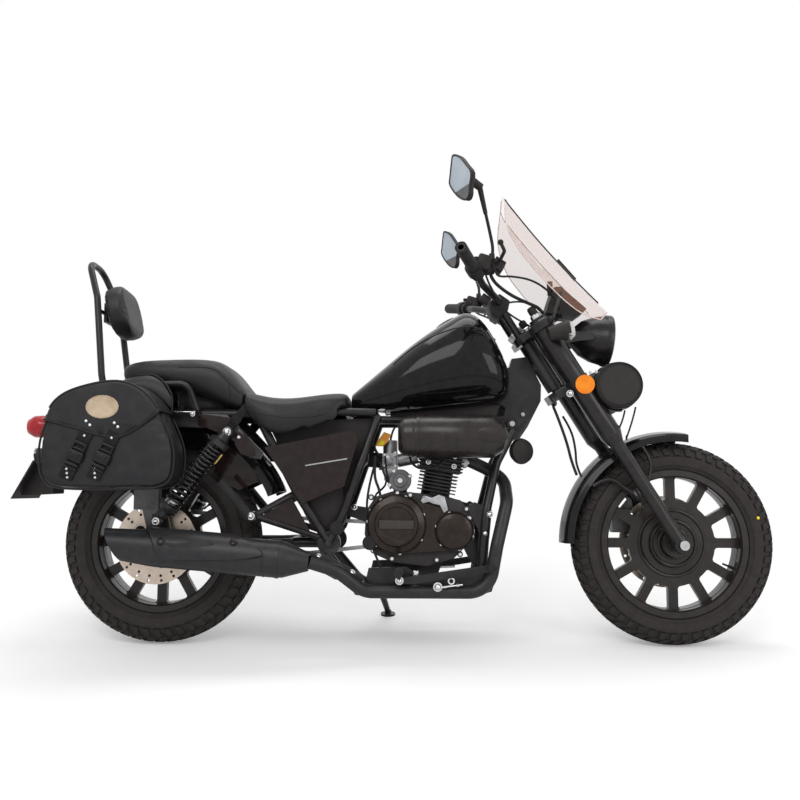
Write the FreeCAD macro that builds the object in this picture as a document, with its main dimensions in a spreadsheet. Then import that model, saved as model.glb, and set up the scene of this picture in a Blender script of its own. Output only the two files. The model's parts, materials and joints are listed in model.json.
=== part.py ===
import FreeCAD, Part
import math
import os
import Sketcher
from FreeCAD import Placement, Rotation, Vector

# Cruiser motorcycle, parked on its side stand.
# Every sub-part is shaped in the upright bike frame, in millimetres: x runs forward from the rear
# axle, y to the rider's left, z up from the ground.  One shared placement then leans the machine.

doc = FreeCAD.newDocument("cruiser_motorcycle")
dims = doc.addObject("Spreadsheet::Sheet", "dims")
subparts = {}

# Driving dimensions, one named cell each
driving = {
    "wheelbase": 1540, "lean_angle": 9.5, "rake_angle": 31.5, "fork_offset": 45,
    "origin_forward": 701, "origin_left": 199,
    # wheels and tyres
    "front_tyre_radius": 302, "front_tyre_half": 54, "front_rim_radius": 218,
    "rear_tyre_radius": 300, "rear_tyre_half": 63, "rear_rim_radius": 205,
    "rim_flange": 6, "rim_flange_depth": 13, "rim_wall": 8, "tyre_fit_gap": 0.3, "tyre_wall": 8,
    "front_rim_half": 44, "rear_rim_half": 52, "wheel_web_half": 11, "spoke_count": 12,
    "spoke_width": 29, "front_plate_radius": 130, "rear_plate_radius": 118,
    "hub_ring_radius": 91, "hub_ring_half": 18, "hub_cap_radius": 67, "window_corner": 9,
    "front_axle_radius": 8, "rear_axle_radius": 9, "running_gap": 0.05, "side_gap": 0.5,
    "front_disc_radius": 140, "rear_disc_radius": 120, "disc_inner_radius": 24, "disc_thick": 4.5,
    "front_disc_place": 64, "rear_disc_place": 84, "sprocket_radius": 88, "sprocket_thick": 7,
    "front_hub_half": 60, "hub_barrel_radius": 40,
    # steering
    "fork_half_spread": 105, "fork_lower_radius": 21.5, "fork_cover_radius": 33,
    "fork_step": 345, "fork_top": 770, "fork_foot": 22, "lower_yoke_place": 543, "yoke_thick": 28,
    "upper_yoke_place": 746, "stem_radius": 15, "headstock_radius": 27, "headstock_gap": 5,
    "bar_radius": 11, "grip_radius": 17, "grip_length": 118, "bar_bore_radius": 8.5,
    "riser_radius": 12, "riser_spread": 45, "bar_forward": -63, "bar_height": 892,
    "bar_half_width": 388,
    "rear_fender_radius": 378, "rear_fender_forward": 15, "rear_fender_height": 312,
    "fender_gap": 27, "front_fender_half": 66, "fender_thick": 2.5,
    "headlight_radius": 80, "headlight_length": 140, "headlight_forward": 1372,
    "headlight_height": 920, "headlight_nod": 6,
    "tool_bag_radius": 69, "tool_bag_half": 148, "tool_bag_forward": 1363, "tool_bag_height": 767,
    "windshield_radius": 160, "windshield_thick": 3, "windshield_tall": 490, "windshield_rake": 39.7,
    # frame
    "backbone_radius": 20, "cradle_radius": 14, "cradle_half": 118, "cradle_bottom": 168,
    "cradle_front": 962, "pivot_forward": 515, "pivot_height": 305, "pivot_radius": 18,
    "arm_half_spread": 113, "arm_width": 26, "arm_height": 44,
    "rail_radius": 12, "rail_half": 120, "rail_height": 683, "strut_plate_thick": 9,
    # engine
    "clutch_forward": 712, "clutch_height": 360, "clutch_radius": 88,
    "crank_forward": 880, "crank_height": 341, "small_cover_radius": 57,
    "crankcase_half": 112, "cylinder_tilt": 10, "cylinder_half": 58, "fin_count": 6,
    "fin_thick": 4, "fin_pitch": 10.5, "canister_radius": 62, "canister_length": 314,
    "canister_left": -160, "pipe_radius": 19,
    "muffler_radius": 52, "muffler_length": 560, "muffler_left": -200,
    # stand
    "stand_reach": 118, "stand_radius": 12, "stand_pivot_radius": 8,
    # luggage and backrest
    "pad_thick": 56, "pad_wide": 200, "pad_tall": 168,
    "bag_length": 371, "bag_depth": 122, "bag_inner": 187, "bag_wall": 5, "flap_wall": 5,
    "bag_gap": 0.4,
}
for row, (alias, number) in enumerate(driving.items(), start=1):
    dims.set("A%d" % row, alias)
    dims.set("B%d" % row, str(number))
    dims.setAlias("B%d" % row, alias)
doc.recompute()


class Size:
    # A number together with the spreadsheet expression that gives it
    def __init__(self, value, text):
        self.value = value
        self.text = text

    def __add__(self, other):
        other = as_size(other)
        return Size(self.value + other.value, "(%s + %s)" % (self.text, other.text))

    def __sub__(self, other):
        other = as_size(other)
        return Size(self.value - other.value, "(%s - %s)" % (self.text, other.text))

    def __mul__(self, other):
        other = as_size(other)
        return Size(self.value * other.value, "(%s * %s)" % (self.text, other.text))

    def __neg__(self):
        return Size(-self.value, "(-%s)" % self.text)


def as_size(thing):
    if isinstance(thing, Size):
        return thing
    return Size(float(thing), "%.6g" % thing)


def cell(alias):
    return Size(float(dims.get(alias)), "dims." + alias)


def num(alias):
    return float(dims.get(alias))


def bind(thing, prop, amount):
    amount = as_size(amount)
    if "." not in prop:
        setattr(thing, prop, amount.value)
    thing.setExpression(prop, amount.text)


# Places shared by many sub-parts
def axle_height(radius, crown):
    # a leaned tyre rests on its rounded shoulder, so its axle stands a little higher
    return radius + crown * (1 / math.cos(math.radians(num("lean_angle"))) - 1)


front_axle = Vector(num("wheelbase"), 0, axle_height(num("front_tyre_radius"), num("front_tyre_half")))
rear_axle = Vector(0, 0, axle_height(num("rear_tyre_radius"), num("rear_tyre_half")))
lean = Placement(Vector(-num("origin_forward"), -num("origin_left"), 0),
                 Rotation(Vector(1, 0, 0), -num("lean_angle")))
fork_frame = Placement(front_axle, Rotation(Vector(0, 1, 0), -num("rake_angle")))
up = Vector(0, 0, 1)
left = Vector(0, 1, 0)
forward = Vector(1, 0, 0)


def in_fork(ahead, side, along):
    # a point beside the fork: ahead of the leg line, to the left, and up along the legs
    return fork_frame.multVec(Vector(ahead, side, along))


def mirrored(vector):
    return Vector(vector.x, -vector.y, vector.z)


# Building tools
def new_body(name):
    body = doc.addObject("PartDesign::Body", name)
    body.Label = name
    return body


def plane_of(body, role):
    return [item for item in body.Origin.OriginFeatures if item.Role == role][0]


def new_sketch(body, name, role, offset=0):
    sketch = body.newObject("Sketcher::SketchObject", name)
    sketch.AttachmentSupport = (plane_of(body, role), [""])
    sketch.MapMode = "FlatFace"
    bind(sketch, "AttachmentOffset.Base.z", offset)
    return sketch


def outline(sketch, points):
    # a closed outline of straight sides, each corner held at its place by two named distances
    places = [(as_size(a), as_size(b)) for a, b in points]
    count = len(places)
    for index in range(count):
        here, there = places[index], places[(index + 1) % count]
        start = Vector(here[0].value, here[1].value, 0)
        end = Vector(there[0].value, there[1].value, 0)
        sketch.addGeometry(Part.LineSegment(start, end), False)
    for index in range(count):
        sketch.addConstraint(Sketcher.Constraint("Coincident", index, 2, (index + 1) % count, 1))
    for index, place in enumerate(places):
        for kind, amount in zip(("DistanceX", "DistanceY"), place):
            number = sketch.addConstraint(Sketcher.Constraint(kind, -1, 1, index, 1, amount.value))
            if "dims." in amount.text:
                sketch.setExpression("Constraints[%d]" % number, amount.text)
    return sketch


def chain_up(sketch, shapes):
    # lines and arcs in a closed loop, each end tied to the next one's nearest end
    sketch.addGeometry(shapes, False)
    count = len(shapes)
    for index in range(count):
        following = (index + 1) % count
        pairs = [(sketch.getPoint(index, a).distanceToPoint(sketch.getPoint(following, b)), a, b)
                 for a in (1, 2) for b in (1, 2)]
        gap, here, there = min(pairs)
        sketch.addConstraint(Sketcher.Constraint("Coincident", index, here, following, there))


def circle(sketch, x, y, radius):
    place = [as_size(x), as_size(y), as_size(radius)]
    middle = Vector(place[0].value, place[1].value, 0)
    index = sketch.addGeometry(Part.Circle(middle, Vector(0, 0, 1), place[2].value), False)
    rules = [Sketcher.Constraint("DistanceX", -1, 1, index, 3, place[0].value),
             Sketcher.Constraint("DistanceY", -1, 1, index, 3, place[1].value),
             Sketcher.Constraint("Radius", index, place[2].value)]
    for rule, amount in zip(rules, place):
        number = sketch.addConstraint(rule)
        if "dims." in amount.text:
            sketch.setExpression("Constraints[%d]" % number, amount.text)


def pad(body, sketch, length, name="pad"):
    feature = body.newObject("PartDesign::Pad", name)
    feature.Profile = sketch
    bind(feature, "Length", length)
    return feature


def pocket_through(body, sketch, name="cut"):
    feature = body.newObject("PartDesign::Pocket", name)
    feature.Profile = sketch
    feature.Type = "ThroughAll"
    feature.Midplane = True
    return feature


def lathe(name, points, role="XZ_Plane"):
    # a turned piece about its own x axis, or about y on the YZ plane
    body = new_body(name)
    sketch = outline(new_sketch(body, name + "_profile", role), points)
    turn = body.newObject("PartDesign::Revolution", name + "_turn")
    turn.Profile = sketch
    turn.ReferenceAxis = (sketch, ["H_Axis"])
    turn.Angle = 360
    return body


def ring_edges(body, rings, axis):
    # the circular edges at given places along the axis and given radii
    names = []
    for index, edge in enumerate(body.Tip.Shape.Edges, start=1):
        if not isinstance(edge.Curve, Part.Circle):
            continue
        along = edge.Curve.Center.dot(axis)
        for place, radius in rings:
            if abs(along - place) < 0.01 and abs(edge.Curve.Radius - radius) < 0.01:
                names.append("Edge%d" % index)
    return names


def round_rings(body, rings, radius, axis=forward):
    doc.recompute()
    places = [(as_size(a).value, as_size(b).value) for a, b in rings]
    names = ring_edges(body, places, axis)
    feature = body.newObject("PartDesign::Fillet", body.Name + "_round")
    feature.Base = (body.Tip, names)
    bind(feature, "Radius", radius)
    return feature


def plate(name, points, thick, offset=0, role="XZ_Plane"):
    # a flat piece: its outline in the given plane, its thickness half to each side of the offset
    body = new_body(name)
    sketch = outline(new_sketch(body, name + "_outline", role, offset), points)
    feature = pad(body, sketch, thick, name + "_pad")
    feature.Midplane = True
    return body


def loft_body(name, sections, role="YZ_Plane"):
    # a skin through closed curves, each given as its place along the normal and its points
    body = new_body(name)
    sketches = []
    for number, (offset, points) in enumerate(sections):
        sketch = new_sketch(body, "%s_section%d" % (name, number), role, offset)
        curve = Part.BSplineCurve()
        curve.interpolate([Vector(a, b, 0) for a, b in points], PeriodicFlag=True)
        sketch.addGeometry(curve, False)
        sketches.append(sketch)
    skin = body.newObject("PartDesign::AdditiveLoft", name + "_skin")
    skin.Profile = sketches[0]
    skin.Sections = sketches[1:]
    return body


def oval_section(half, low, high, waist=0.42, power=2.4, count=12):
    # points of a rounded section: widest at the waist, fuller as the power grows
    middle = low + waist * (high - low)
    points = []
    for step in range(count):
        angle = 2 * math.pi * step / count
        across = math.copysign(abs(math.cos(angle)) ** (2 / power), math.cos(angle))
        upright = math.copysign(abs(math.sin(angle)) ** (2 / power), math.sin(angle))
        reach = (high - middle) if upright > 0 else (middle - low)
        points.append((half * across, middle + reach * upright))
    return points


def tube_path(points, bend):
    # straight runs joined by tangent arcs
    edges = []
    start = points[0]
    for index in range(1, len(points) - 1):
        corner = points[index]
        back = points[index - 1].sub(corner).normalize()
        ahead = points[index + 1].sub(corner).normalize()
        half_turn = (math.pi - back.getAngle(ahead)) / 2
        shorter = min(points[index - 1].sub(corner).Length, points[index + 1].sub(corner).Length)
        radius = min(bend, 0.45 * shorter / math.tan(half_turn))
        trim = radius * math.tan(half_turn)
        first = corner + back * trim
        last = corner + ahead * trim
        inward = (back + ahead).normalize()
        centre = corner + inward * (radius / math.cos(half_turn))
        middle = centre - inward * radius
        edges.append(Part.LineSegment(start, first).toShape())
        edges.append(Part.Arc(first, middle, last).toShape())
        start = last
    edges.append(Part.LineSegment(start, points[-1]).toShape())
    return Part.Wire(edges)


def tube(points, radius, bend=60, inner=0):
    path = tube_path(points, bend)
    direction = points[1].sub(points[0])
    rim = Part.Wire(Part.makeCircle(radius, points[0], direction))
    solid = path.makePipeShell([rim], True, False)
    if inner:
        hole = Part.Wire(Part.makeCircle(inner, points[0], direction))
        solid = solid.cut(path.makePipeShell([hole], True, False))
    return solid


def rod(start, end, radius, end_radius=None):
    way = end.sub(start)
    if end_radius is None:
        return Part.makeCylinder(radius, way.Length, start, way)
    return Part.makeCone(radius, end_radius, way.Length, start, way)


def prism(points, side, thick):
    # an outline in the bike's side view, its thickness half to each side of the given place
    corners = [Vector(x, side - thick / 2, z) for x, z in points]
    face = Part.Face(Part.makePolygon(corners + corners[:1]))
    return face.extrude(Vector(0, thick, 0))


def block(ahead, side, height, length, width, tall):
    # a block given by its middle and its sizes
    corner = Vector(ahead - length / 2, side - width / 2, height - tall / 2)
    return Part.makeBox(length, width, tall, corner)


def upright(name):
    # a finished sub-part's shape, back in the upright bike frame
    shape = subparts[name].Shape.copy()
    shape.Placement = lean.inverse().multiply(shape.Placement)
    return shape


def largest(shape):
    # the main solid, without the slivers that a cut may leave
    return max(shape.Solids, key=lambda solid: solid.Volume)


def both_sides(shape):
    return [shape, shape.mirror(Vector(0, 0, 0), left)]


def join(shapes):
    first = shapes[0]
    return first.multiFuse(shapes[1:]).removeSplitter()


def single(shape):
    return shape.Solids[0] if len(shape.Solids) == 1 else shape


def made(name, shape):
    # a sub-part whose form is worked out in code from the sheet's sizes
    feature = doc.addObject("Part::Feature", name)
    feature.Label = name
    shape = single(shape)
    feature.Shape = shape
    feature.Placement = lean.multiply(shape.Placement)
    subparts[name] = feature
    return feature


def ready(name, thing, local=Placement()):
    # a sub-part built of document objects, set at its place on the leaning bike
    thing.Label = name
    thing.Placement = lean.multiply(local)
    subparts[name] = thing
    return thing


def set_of(name, things):
    group = doc.addObject("Part::Compound", name)
    group.Links = things
    return group


def mirror_of(thing, name):
    copy = doc.addObject("Part::Mirroring", name)
    copy.Source = thing
    copy.Normal = left
    return copy


# Wheels
def tyre(name, radius, half, rim_radius, rim_half, place):
    # crown in straight facets with a corner each side at the lean angle, where it meets the ground
    wall, gap = cell("tyre_wall"), cell("tyre_fit_gap")
    bead = rim_radius - cell("rim_flange_depth") + gap
    foot = rim_half - cell("rim_flange") - gap
    crown, inner = radius - half, half - wall

    def on_crown(reach, degrees):
        turn = math.radians(degrees)
        return reach * round(math.sin(turn), 6), crown + reach * round(math.cos(turn), 6)

    outer_side = [(foot, bead), (foot, rim_radius + 4), (half, crown), on_crown(half + 0.6, 62),
                  on_crown(half + 0.4, 35), on_crown(half, num("lean_angle"))]
    inner_side = [(foot - wall, bead), (inner, crown), on_crown(inner, 45)]
    points = [(-a, b) for a, b in outer_side] + outer_side[::-1]
    points += inner_side + [(-a, b) for a, b in inner_side[::-1]]
    body = new_body(name)
    sketch = outline(new_sketch(body, name + "_profile", "YZ_Plane"), points)
    turn = body.newObject("PartDesign::Revolution", name + "_turn")
    turn.Profile = sketch
    turn.ReferenceAxis = (sketch, ["H_Axis"])
    turn.Angle = 360
    ready(name, body, Placement(place, Rotation()))


def rim(name, rim_radius, rim_half, plate_radius, hub_left, hub_right, axle_radius, place):
    flange, depth = cell("rim_flange"), cell("rim_flange_depth")
    seat = rim_radius - depth
    inner = seat - cell("rim_wall")
    web, ring, ring_half = cell("wheel_web_half"), cell("hub_ring_radius"), cell("hub_ring_half")
    cap, barrel = cell("hub_cap_radius"), cell("hub_barrel_radius")
    bore = axle_radius + cell("running_gap")
    cap_half = ring_half + 10
    half_profile = [(rim_half, seat - 4), (rim_half, rim_radius), (rim_half - flange, rim_radius),
                    (rim_half - flange, seat)]
    points = [(hub_left, bore), (hub_left, barrel), (cap_half, barrel), (cap_half, cap),
              (ring_half, cap), (ring_half, ring), (web, ring), (web, inner),
              (rim_half - flange, inner)]
    points += half_profile
    points += [(-a, b) for a, b in reversed(half_profile)]
    points += [(-(rim_half - flange), inner), (-web, inner), (-web, ring), (-ring_half, ring),
               (-ring_half, cap), (-cap_half, cap), (-cap_half, barrel), (-hub_right, barrel),
               (-hub_right, bore)]
    body = new_body(name)
    sketch = outline(new_sketch(body, name + "_profile", "YZ_Plane"), points)
    turn = body.newObject("PartDesign::Revolution", name + "_turn")
    turn.Profile = sketch
    turn.ReferenceAxis = (sketch, ["H_Axis"])
    turn.Angle = 360
    # one window between two spokes, then its copies
    count = int(num("spoke_count"))
    half_pitch = math.pi / count
    spoke = num("spoke_width")
    outer, low = inner.value - 1, plate_radius.value
    bend = num("window_corner")

    def at(radius, turn):
        return Vector(radius * math.cos(turn), radius * math.sin(turn), 0)

    def corner(before, tip, after):
        # a rounded corner from a point before the tip to one after it
        return Part.Arc(before, (before + tip * 2 + after) * 0.25, after)

    low_turn = math.asin((spoke / 2) / low)
    high_turn = math.asin((spoke / 2) / outer)
    end = 2 * half_pitch
    a, b = at(low, low_turn), at(outer, high_turn)
    c, d = at(outer, end - high_turn), at(low, end - low_turn)
    rise, fall = (b - a).normalize() * bend, (d - c).normalize() * bend
    b_on, c_on = at(outer, high_turn + bend / outer), at(outer, end - high_turn - bend / outer)
    d_on, a_on = at(low, end - low_turn - bend / low), at(low, low_turn + bend / low)
    window = new_sketch(body, name + "_window", "XZ_Plane")
    chain_up(window, [Part.LineSegment(a + rise, b - rise), corner(b - rise, b, b_on),
                      Part.Arc(b_on, at(outer, half_pitch), c_on), corner(c_on, c, c + fall),
                      Part.LineSegment(c + fall, d - fall), corner(d - fall, d, d_on),
                      Part.Arc(d_on, at(low, half_pitch), a_on), corner(a_on, a, a + rise)])
    cut = pocket_through(body, window, name + "_window_cut")
    pattern = body.newObject("PartDesign::PolarPattern", name + "_windows")
    pattern.Originals = [cut]
    pattern.Axis = (plane_of(body, "Y_Axis"), [""])
    pattern.Angle = 360
    pattern.Occurrences = count
    body.Tip = pattern
    ready(name, body, Placement(place, Rotation()))
    return body


def disc(name, radius, side, place, thick=None, drilled=True):
    inner = cell("disc_inner_radius")
    thick = thick or cell("disc_thick")
    body = new_body(name)
    sketch = new_sketch(body, name + "_rings", "XZ_Plane", -as_size(side))
    circle(sketch, 0, 0, radius)
    circle(sketch, 0, 0, inner)
    feature = pad(body, sketch, thick, name + "_pad")
    feature.Midplane = True
    # round windows in the carrier, then two rings of drilled holes in the band
    rings = [("window", 5, radius * 0.5, radius * 0.13)]
    if drilled:
        rings += [("outer_hole", 18, radius - 10, as_size(4)), ("inner_hole", 18, radius - 24, as_size(4))]
    for label, count, ring, hole in rings:
        marks = new_sketch(body, "%s_%s" % (name, label), "XZ_Plane")
        circle(marks, ring, 0, hole)
        cut = pocket_through(body, marks, "%s_%s_cut" % (name, label))
        pattern = body.newObject("PartDesign::PolarPattern", "%s_%s_ring" % (name, label))
        pattern.Originals = [cut]
        pattern.Axis = (plane_of(body, "Y_Axis"), [""])
        pattern.Angle = 360
        pattern.Occurrences = count
        body.Tip = pattern
    ready(name, body, Placement(place, Rotation()))


def wheels():
    tyre("front_tyre", cell("front_tyre_radius"), cell("front_tyre_half"),
         cell("front_rim_radius"), cell("front_rim_half"), front_axle)
    tyre("rear_tyre", cell("rear_tyre_radius"), cell("rear_tyre_half"),
         cell("rear_rim_radius"), cell("rear_rim_half"), rear_axle)
    half_disc = cell("disc_thick") * 0.5
    rim("front_rim", cell("front_rim_radius"), cell("front_rim_half"), cell("front_plate_radius"),
        cell("front_disc_place") - half_disc, cell("front_hub_half"),
        cell("front_axle_radius"), front_axle)
    rim("rear_rim", cell("rear_rim_radius"), cell("rear_rim_half"), cell("rear_plate_radius"),
        cell("rear_disc_place") - cell("sprocket_thick") * 0.5,
        cell("rear_disc_place") - half_disc, cell("rear_axle_radius"), rear_axle)
    disc("front_disc", cell("front_disc_radius"), cell("front_disc_place"), front_axle)
    disc("rear_disc", cell("rear_disc_radius"), -cell("rear_disc_place"), rear_axle)
    disc("rear_sprocket", cell("sprocket_radius") - 5.6, cell("rear_disc_place"), rear_axle,
         cell("sprocket_thick"), drilled=False)


# Steering
def yokes():
    low, high, thick = num("lower_yoke_place"), num("upper_yoke_place"), num("yoke_thick")
    spread, offset = num("fork_half_spread"), num("fork_offset")
    cover, stem = num("fork_cover_radius"), num("stem_radius")

    def yoke(along, tall, eye):
        wide = Part.makeBox(offset + 34, 2 * spread, tall, Vector(-offset - 28, -spread, along))
        eyes = [Part.makeCylinder(eye, tall, Vector(0, side * spread, along)) for side in (-1, 1)]
        hub = Part.makeCylinder(34, tall, Vector(-offset, 0, along))
        holes = [Part.makeCylinder(cover + 0.05, tall, Vector(0, side * spread, along))
                 for side in (-1, 1)]
        solid = join([wide, hub] + eyes)
        for hole in holes:
            solid = solid.cut(hole)
        return solid

    lower = yoke(low, thick, cover + 3)
    upper = yoke(high, thick - 6, cover + 9)
    top = high + thick - 6
    post = Part.makeCylinder(stem, top - low + 6, Vector(-offset, 0, low))
    nut = Part.makeCylinder(17, 12, Vector(-offset, 0, top))
    shape = join([lower, upper, post, nut])
    shape.Placement = fork_frame
    made("yokes", shape)


def fork_legs():
    spread, lower = num("fork_half_spread"), num("fork_lower_radius")
    cover, step, top, foot = (num("fork_cover_radius"), num("fork_step"), num("fork_top"),
                              num("fork_foot"))
    profile = [(0, -foot), (lower - 6, -foot), (lower, -foot + 6), (lower, step),
               (cover, step + 30), (cover, top), (cover - 6, top + 6), (cover - 6, top + 14),
               (0, top + 14)]
    corners = [Vector(r, 0, s) for r, s in profile]
    face = Part.Face(Part.makePolygon(corners + corners[:1]))
    leg = face.revolve(Vector(0, 0, 0), up, 360)
    lug_half = lower - 2
    lug = Part.makeCylinder(24, 2 * lug_half, Vector(0, -lug_half, 0), left)
    bore = Part.makeCylinder(num("front_axle_radius") + num("running_gap"), 80, Vector(0, -40, 0), left)
    leg = leg.fuse(lug).cut(bore)
    leg.translate(Vector(0, spread, 0))
    shape = Part.makeCompound(both_sides(leg))
    shape.Placement = fork_frame
    made("fork_legs", shape)


def axle(name, radius, reach, hub, inner_face, place):
    # the spindle with its nuts, and the collars that space the hub from the carriers
    pin = Part.makeCylinder(radius, 2 * reach, Vector(0, -reach, 0), left)
    nuts = [Part.makeCylinder(radius + 6, 9, Vector(0, side, 0), left) for side in (-reach, reach - 9)]
    collars = []
    for side, face in ((1, hub[0]), (-1, hub[1])):
        start, end = sorted((side * (face + num("side_gap")), side * (inner_face - num("side_gap"))))
        collars.append(Part.makeCylinder(radius + 7, end - start, Vector(0, start, 0), left))
    shape = join([pin] + nuts + collars)
    shape.translate(place)
    made(name, shape)


def handlebar():
    ahead, along = num("bar_forward"), num("bar_height")
    half = num("bar_half_width")
    points = [(ahead, 0, along), (ahead, -78, along), (ahead - 33, -168, along + 54),
              (ahead - 46, -250, along + 84), (ahead - 72, -half, along + 136)]
    side = [in_fork(*p) for p in points]
    path = [mirrored(p) for p in reversed(side[1:])] + side[1:]
    bar = tube(path, num("bar_radius"), 70)
    for end, before in ((path[0], path[1]), (path[-1], path[-2])):
        way = before.sub(end).normalize()
        bar = bar.cut(Part.makeCylinder(num("bar_bore_radius"), 60, end - way * 1, way))
    top = num("upper_yoke_place") + num("yoke_thick") - 6
    risers = []
    for side in (-1, 1):
        spread = side * num("riser_spread")
        foot = in_fork(ahead, spread, top)
        head = in_fork(ahead, spread, along)
        risers.append(rod(foot, head, num("riser_radius")))
        clamp = Part.makeCylinder(22, 40, Vector(ahead, spread - 20, along), left)
        clamp.Placement = fork_frame.multiply(clamp.Placement)
        risers.append(clamp)
    made("handlebar", join([bar] + risers))


def hand_controls():
    ahead, along = num("bar_forward"), num("bar_height")
    half = num("bar_half_width")
    inner = in_fork(ahead - 46, -250, along + 84)
    outer = in_fork(ahead - 72, -half, along + 136)
    way = outer.sub(inner).normalize()
    bar = num("bar_radius")
    start = outer - way * num("grip_length")
    grip = rod(start, outer, num("grip_radius"))
    switch = rod(start - way * 2, start - way * 34, 24)
    perch = rod(start - way * 36, start - way * 56, 19)
    hole = rod(start - way * 80, outer + way * 5, bar + num("running_gap"))
    tank_foot = start - way * 46
    reservoir = rod(tank_foot + Vector(30, 0, 0), tank_foot + Vector(30, 0, 34), 20)
    neck = rod(tank_foot, tank_foot + Vector(34, 0, 12), 11)
    lever = tube([in_fork(ahead - 20, -224, along + 76), in_fork(ahead + 26, -262, along + 72),
                  in_fork(ahead + 36, -330, along + 76), in_fork(ahead + 24, -394, along + 90)], 5, 40)
    ball = Part.makeSphere(8, in_fork(ahead + 24, -394, along + 90))
    control = join([perch, neck, reservoir, lever, ball]).cut(hole)
    grip = grip.cut(hole)
    switch = switch.cut(hole)
    pieces = both_sides(grip) + both_sides(switch) + both_sides(control)
    bar_shape = upright("handlebar")
    made("hand_controls", Part.makeCompound([largest(piece.cut(bar_shape)) for piece in pieces]))


def mirrors():
    foot = Vector(950, -240, 1084)
    shoulder = Vector(984, -252, 1134)
    knee = Vector(950, -292, 1290)
    ball = Vector(928, -318, 1326)
    stem = tube([foot, shoulder, knee, ball], 5, 30)
    shell_half, shell_tall, thick = 62, 58, 15
    corners = [(-shell_half, -8), (-30, -shell_tall), (40, -shell_tall + 14),
               (shell_half, 12), (34, shell_tall), (-40, shell_tall - 12)]
    points = [Vector(0, a, b) for a, b in corners]
    face = Part.Face(Part.makePolygon(points + points[:1]))
    shell = face.extrude(Vector(thick, 0, 0))
    shell = shell.makeFillet(5, [e for e in shell.Edges if abs(e.CenterOfMass.x - thick) < 1])
    knuckle = Part.makeCylinder(9, 30, Vector(thick - 4, 0, 0), forward)
    head = shell.fuse(knuckle)
    right = head.copy()
    right.Placement = Placement(Vector(893, -352, 1318), Rotation(up, 26))
    far = head.copy()
    far.Placement = Placement(Vector(893, 352, 1318), Rotation(up, 26))
    stem_right = join([stem, rod(ball, Vector(915, -345, 1322), 7)])
    stem_left = join([tube([mirrored(p) for p in (foot, shoulder, knee, ball)], 5, 30),
                      rod(mirrored(ball), Vector(915, 360, 1322), 7)])
    controls = upright("hand_controls")
    sides = [largest(right.fuse(stem_right).cut(controls)), largest(far.fuse(stem_left).cut(controls))]
    made("mirrors", Part.makeCompound(sides))


def headlight():
    radius, length = cell("headlight_radius"), cell("headlight_length")
    body = lathe("headlight", [(0, 0), (0, radius - 8), (-3, radius - 8), (-3, radius - 2),
                               (-8, radius), (-22, radius), (-26, radius - 3), (-60, radius - 10),
                               (-95, radius - 26), (-120, radius - 50), (-length, radius - 66),
                               (-length, 0)])
    place = Placement(Vector(num("headlight_forward"), 0, num("headlight_height")),
                      Rotation(left, num("headlight_nod")))
    ready("headlight", body, place)


def front_brackets():
    # ears that carry the headlight, and stays that carry the windshield
    shapes = []
    for side in (-1, 1):
        ear = prism([(1176, 900), (1176, 944), (1306, 934), (1306, 914)], side * 72, 6)
        root = in_fork(0, side * (num("fork_half_spread") + num("fork_cover_radius") - 3), 740)
        stay = tube([root, Vector(1170, side * 152, 960), Vector(1196, side * 152, 1042)], 5, 25)
        shapes += [ear, stay]
    for name in ("fork_legs", "yokes", "headlight"):
        shapes = [largest(shape.cut(upright(name))) for shape in shapes]
    made("front_brackets", Part.makeCompound(shapes))


def windshield():
    radius, thick, tall = num("windshield_radius"), num("windshield_thick"), num("windshield_tall")
    outer = Part.makeCylinder(radius, tall, Vector(-radius, 0, 0), up)
    inner = Part.makeCylinder(radius - thick, tall, Vector(-radius, 0, 0), up)
    shell = outer.cut(inner)
    side = [(0, 0), (110, 16), (156, 90), (159.9, 200), (150, 330), (112, 430), (60, 478), (0, tall)]
    corners = [Vector(-radius, a, b) for a, b in side]
    corners += [Vector(-radius, -a, b) for a, b in reversed(side[1:-1])]
    sheet = Part.Face(Part.makePolygon(corners + corners[:1])).extrude(Vector(radius + 5, 0, 0))
    shell = shell.common(sheet)
    angle = -num("windshield_rake")
    foot = Vector(num("headlight_forward") - 23, 0, num("headlight_height") + 78)
    shell.Placement = Placement(foot, Rotation(left, angle))
    made("windshield", shell.cut(upright("headlight")).cut(upright("front_brackets")))


def instrument_pod():
    hull = prism([(1165, 1000), (1192, 1080), (1212, 1082), (1290, 1012), (1262, 992)], 0, 110)
    knob = rod(Vector(1184, -30, 1060), Vector(1182, -30, 1102), 9)
    bracket = prism([(1146, 948), (1166, 938), (1222, 1000), (1196, 1010)], 0, 30)
    made("instrument_pod", join([hull, knob, bracket]).cut(upright("yokes")))


def front_fender():
    inner = num("front_tyre_radius") + num("fender_gap")
    half, thick = num("front_fender_half"), num("fender_thick")
    skirt = 26
    points = [Vector(0, -half, inner - skirt), Vector(0, -half + 10, inner - 4),
              Vector(0, 0, inner + 6), Vector(0, half - 10, inner - 4), Vector(0, half, inner - skirt),
              Vector(0, half + thick, inner - skirt), Vector(0, half - 9 + thick, inner - 2),
              Vector(0, 0, inner + 6 + thick), Vector(0, -half + 9 - thick, inner - 2),
              Vector(0, -half - thick, inner - skirt)]
    face = Part.Face(Part.makePolygon(points + points[:1]))
    shell = face.revolve(Vector(0, 0, 0), left, -98)
    shell.rotate(Vector(0, 0, 0), left, 8)
    shell.translate(front_axle)
    stays = both_sides(Part.makeBox(18, 30, 14, Vector(-9, 60, 308)))
    for stay in stays:
        stay.Placement = fork_frame
    made("front_fender", join([shell] + stays).cut(upright("fork_legs")))


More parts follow.
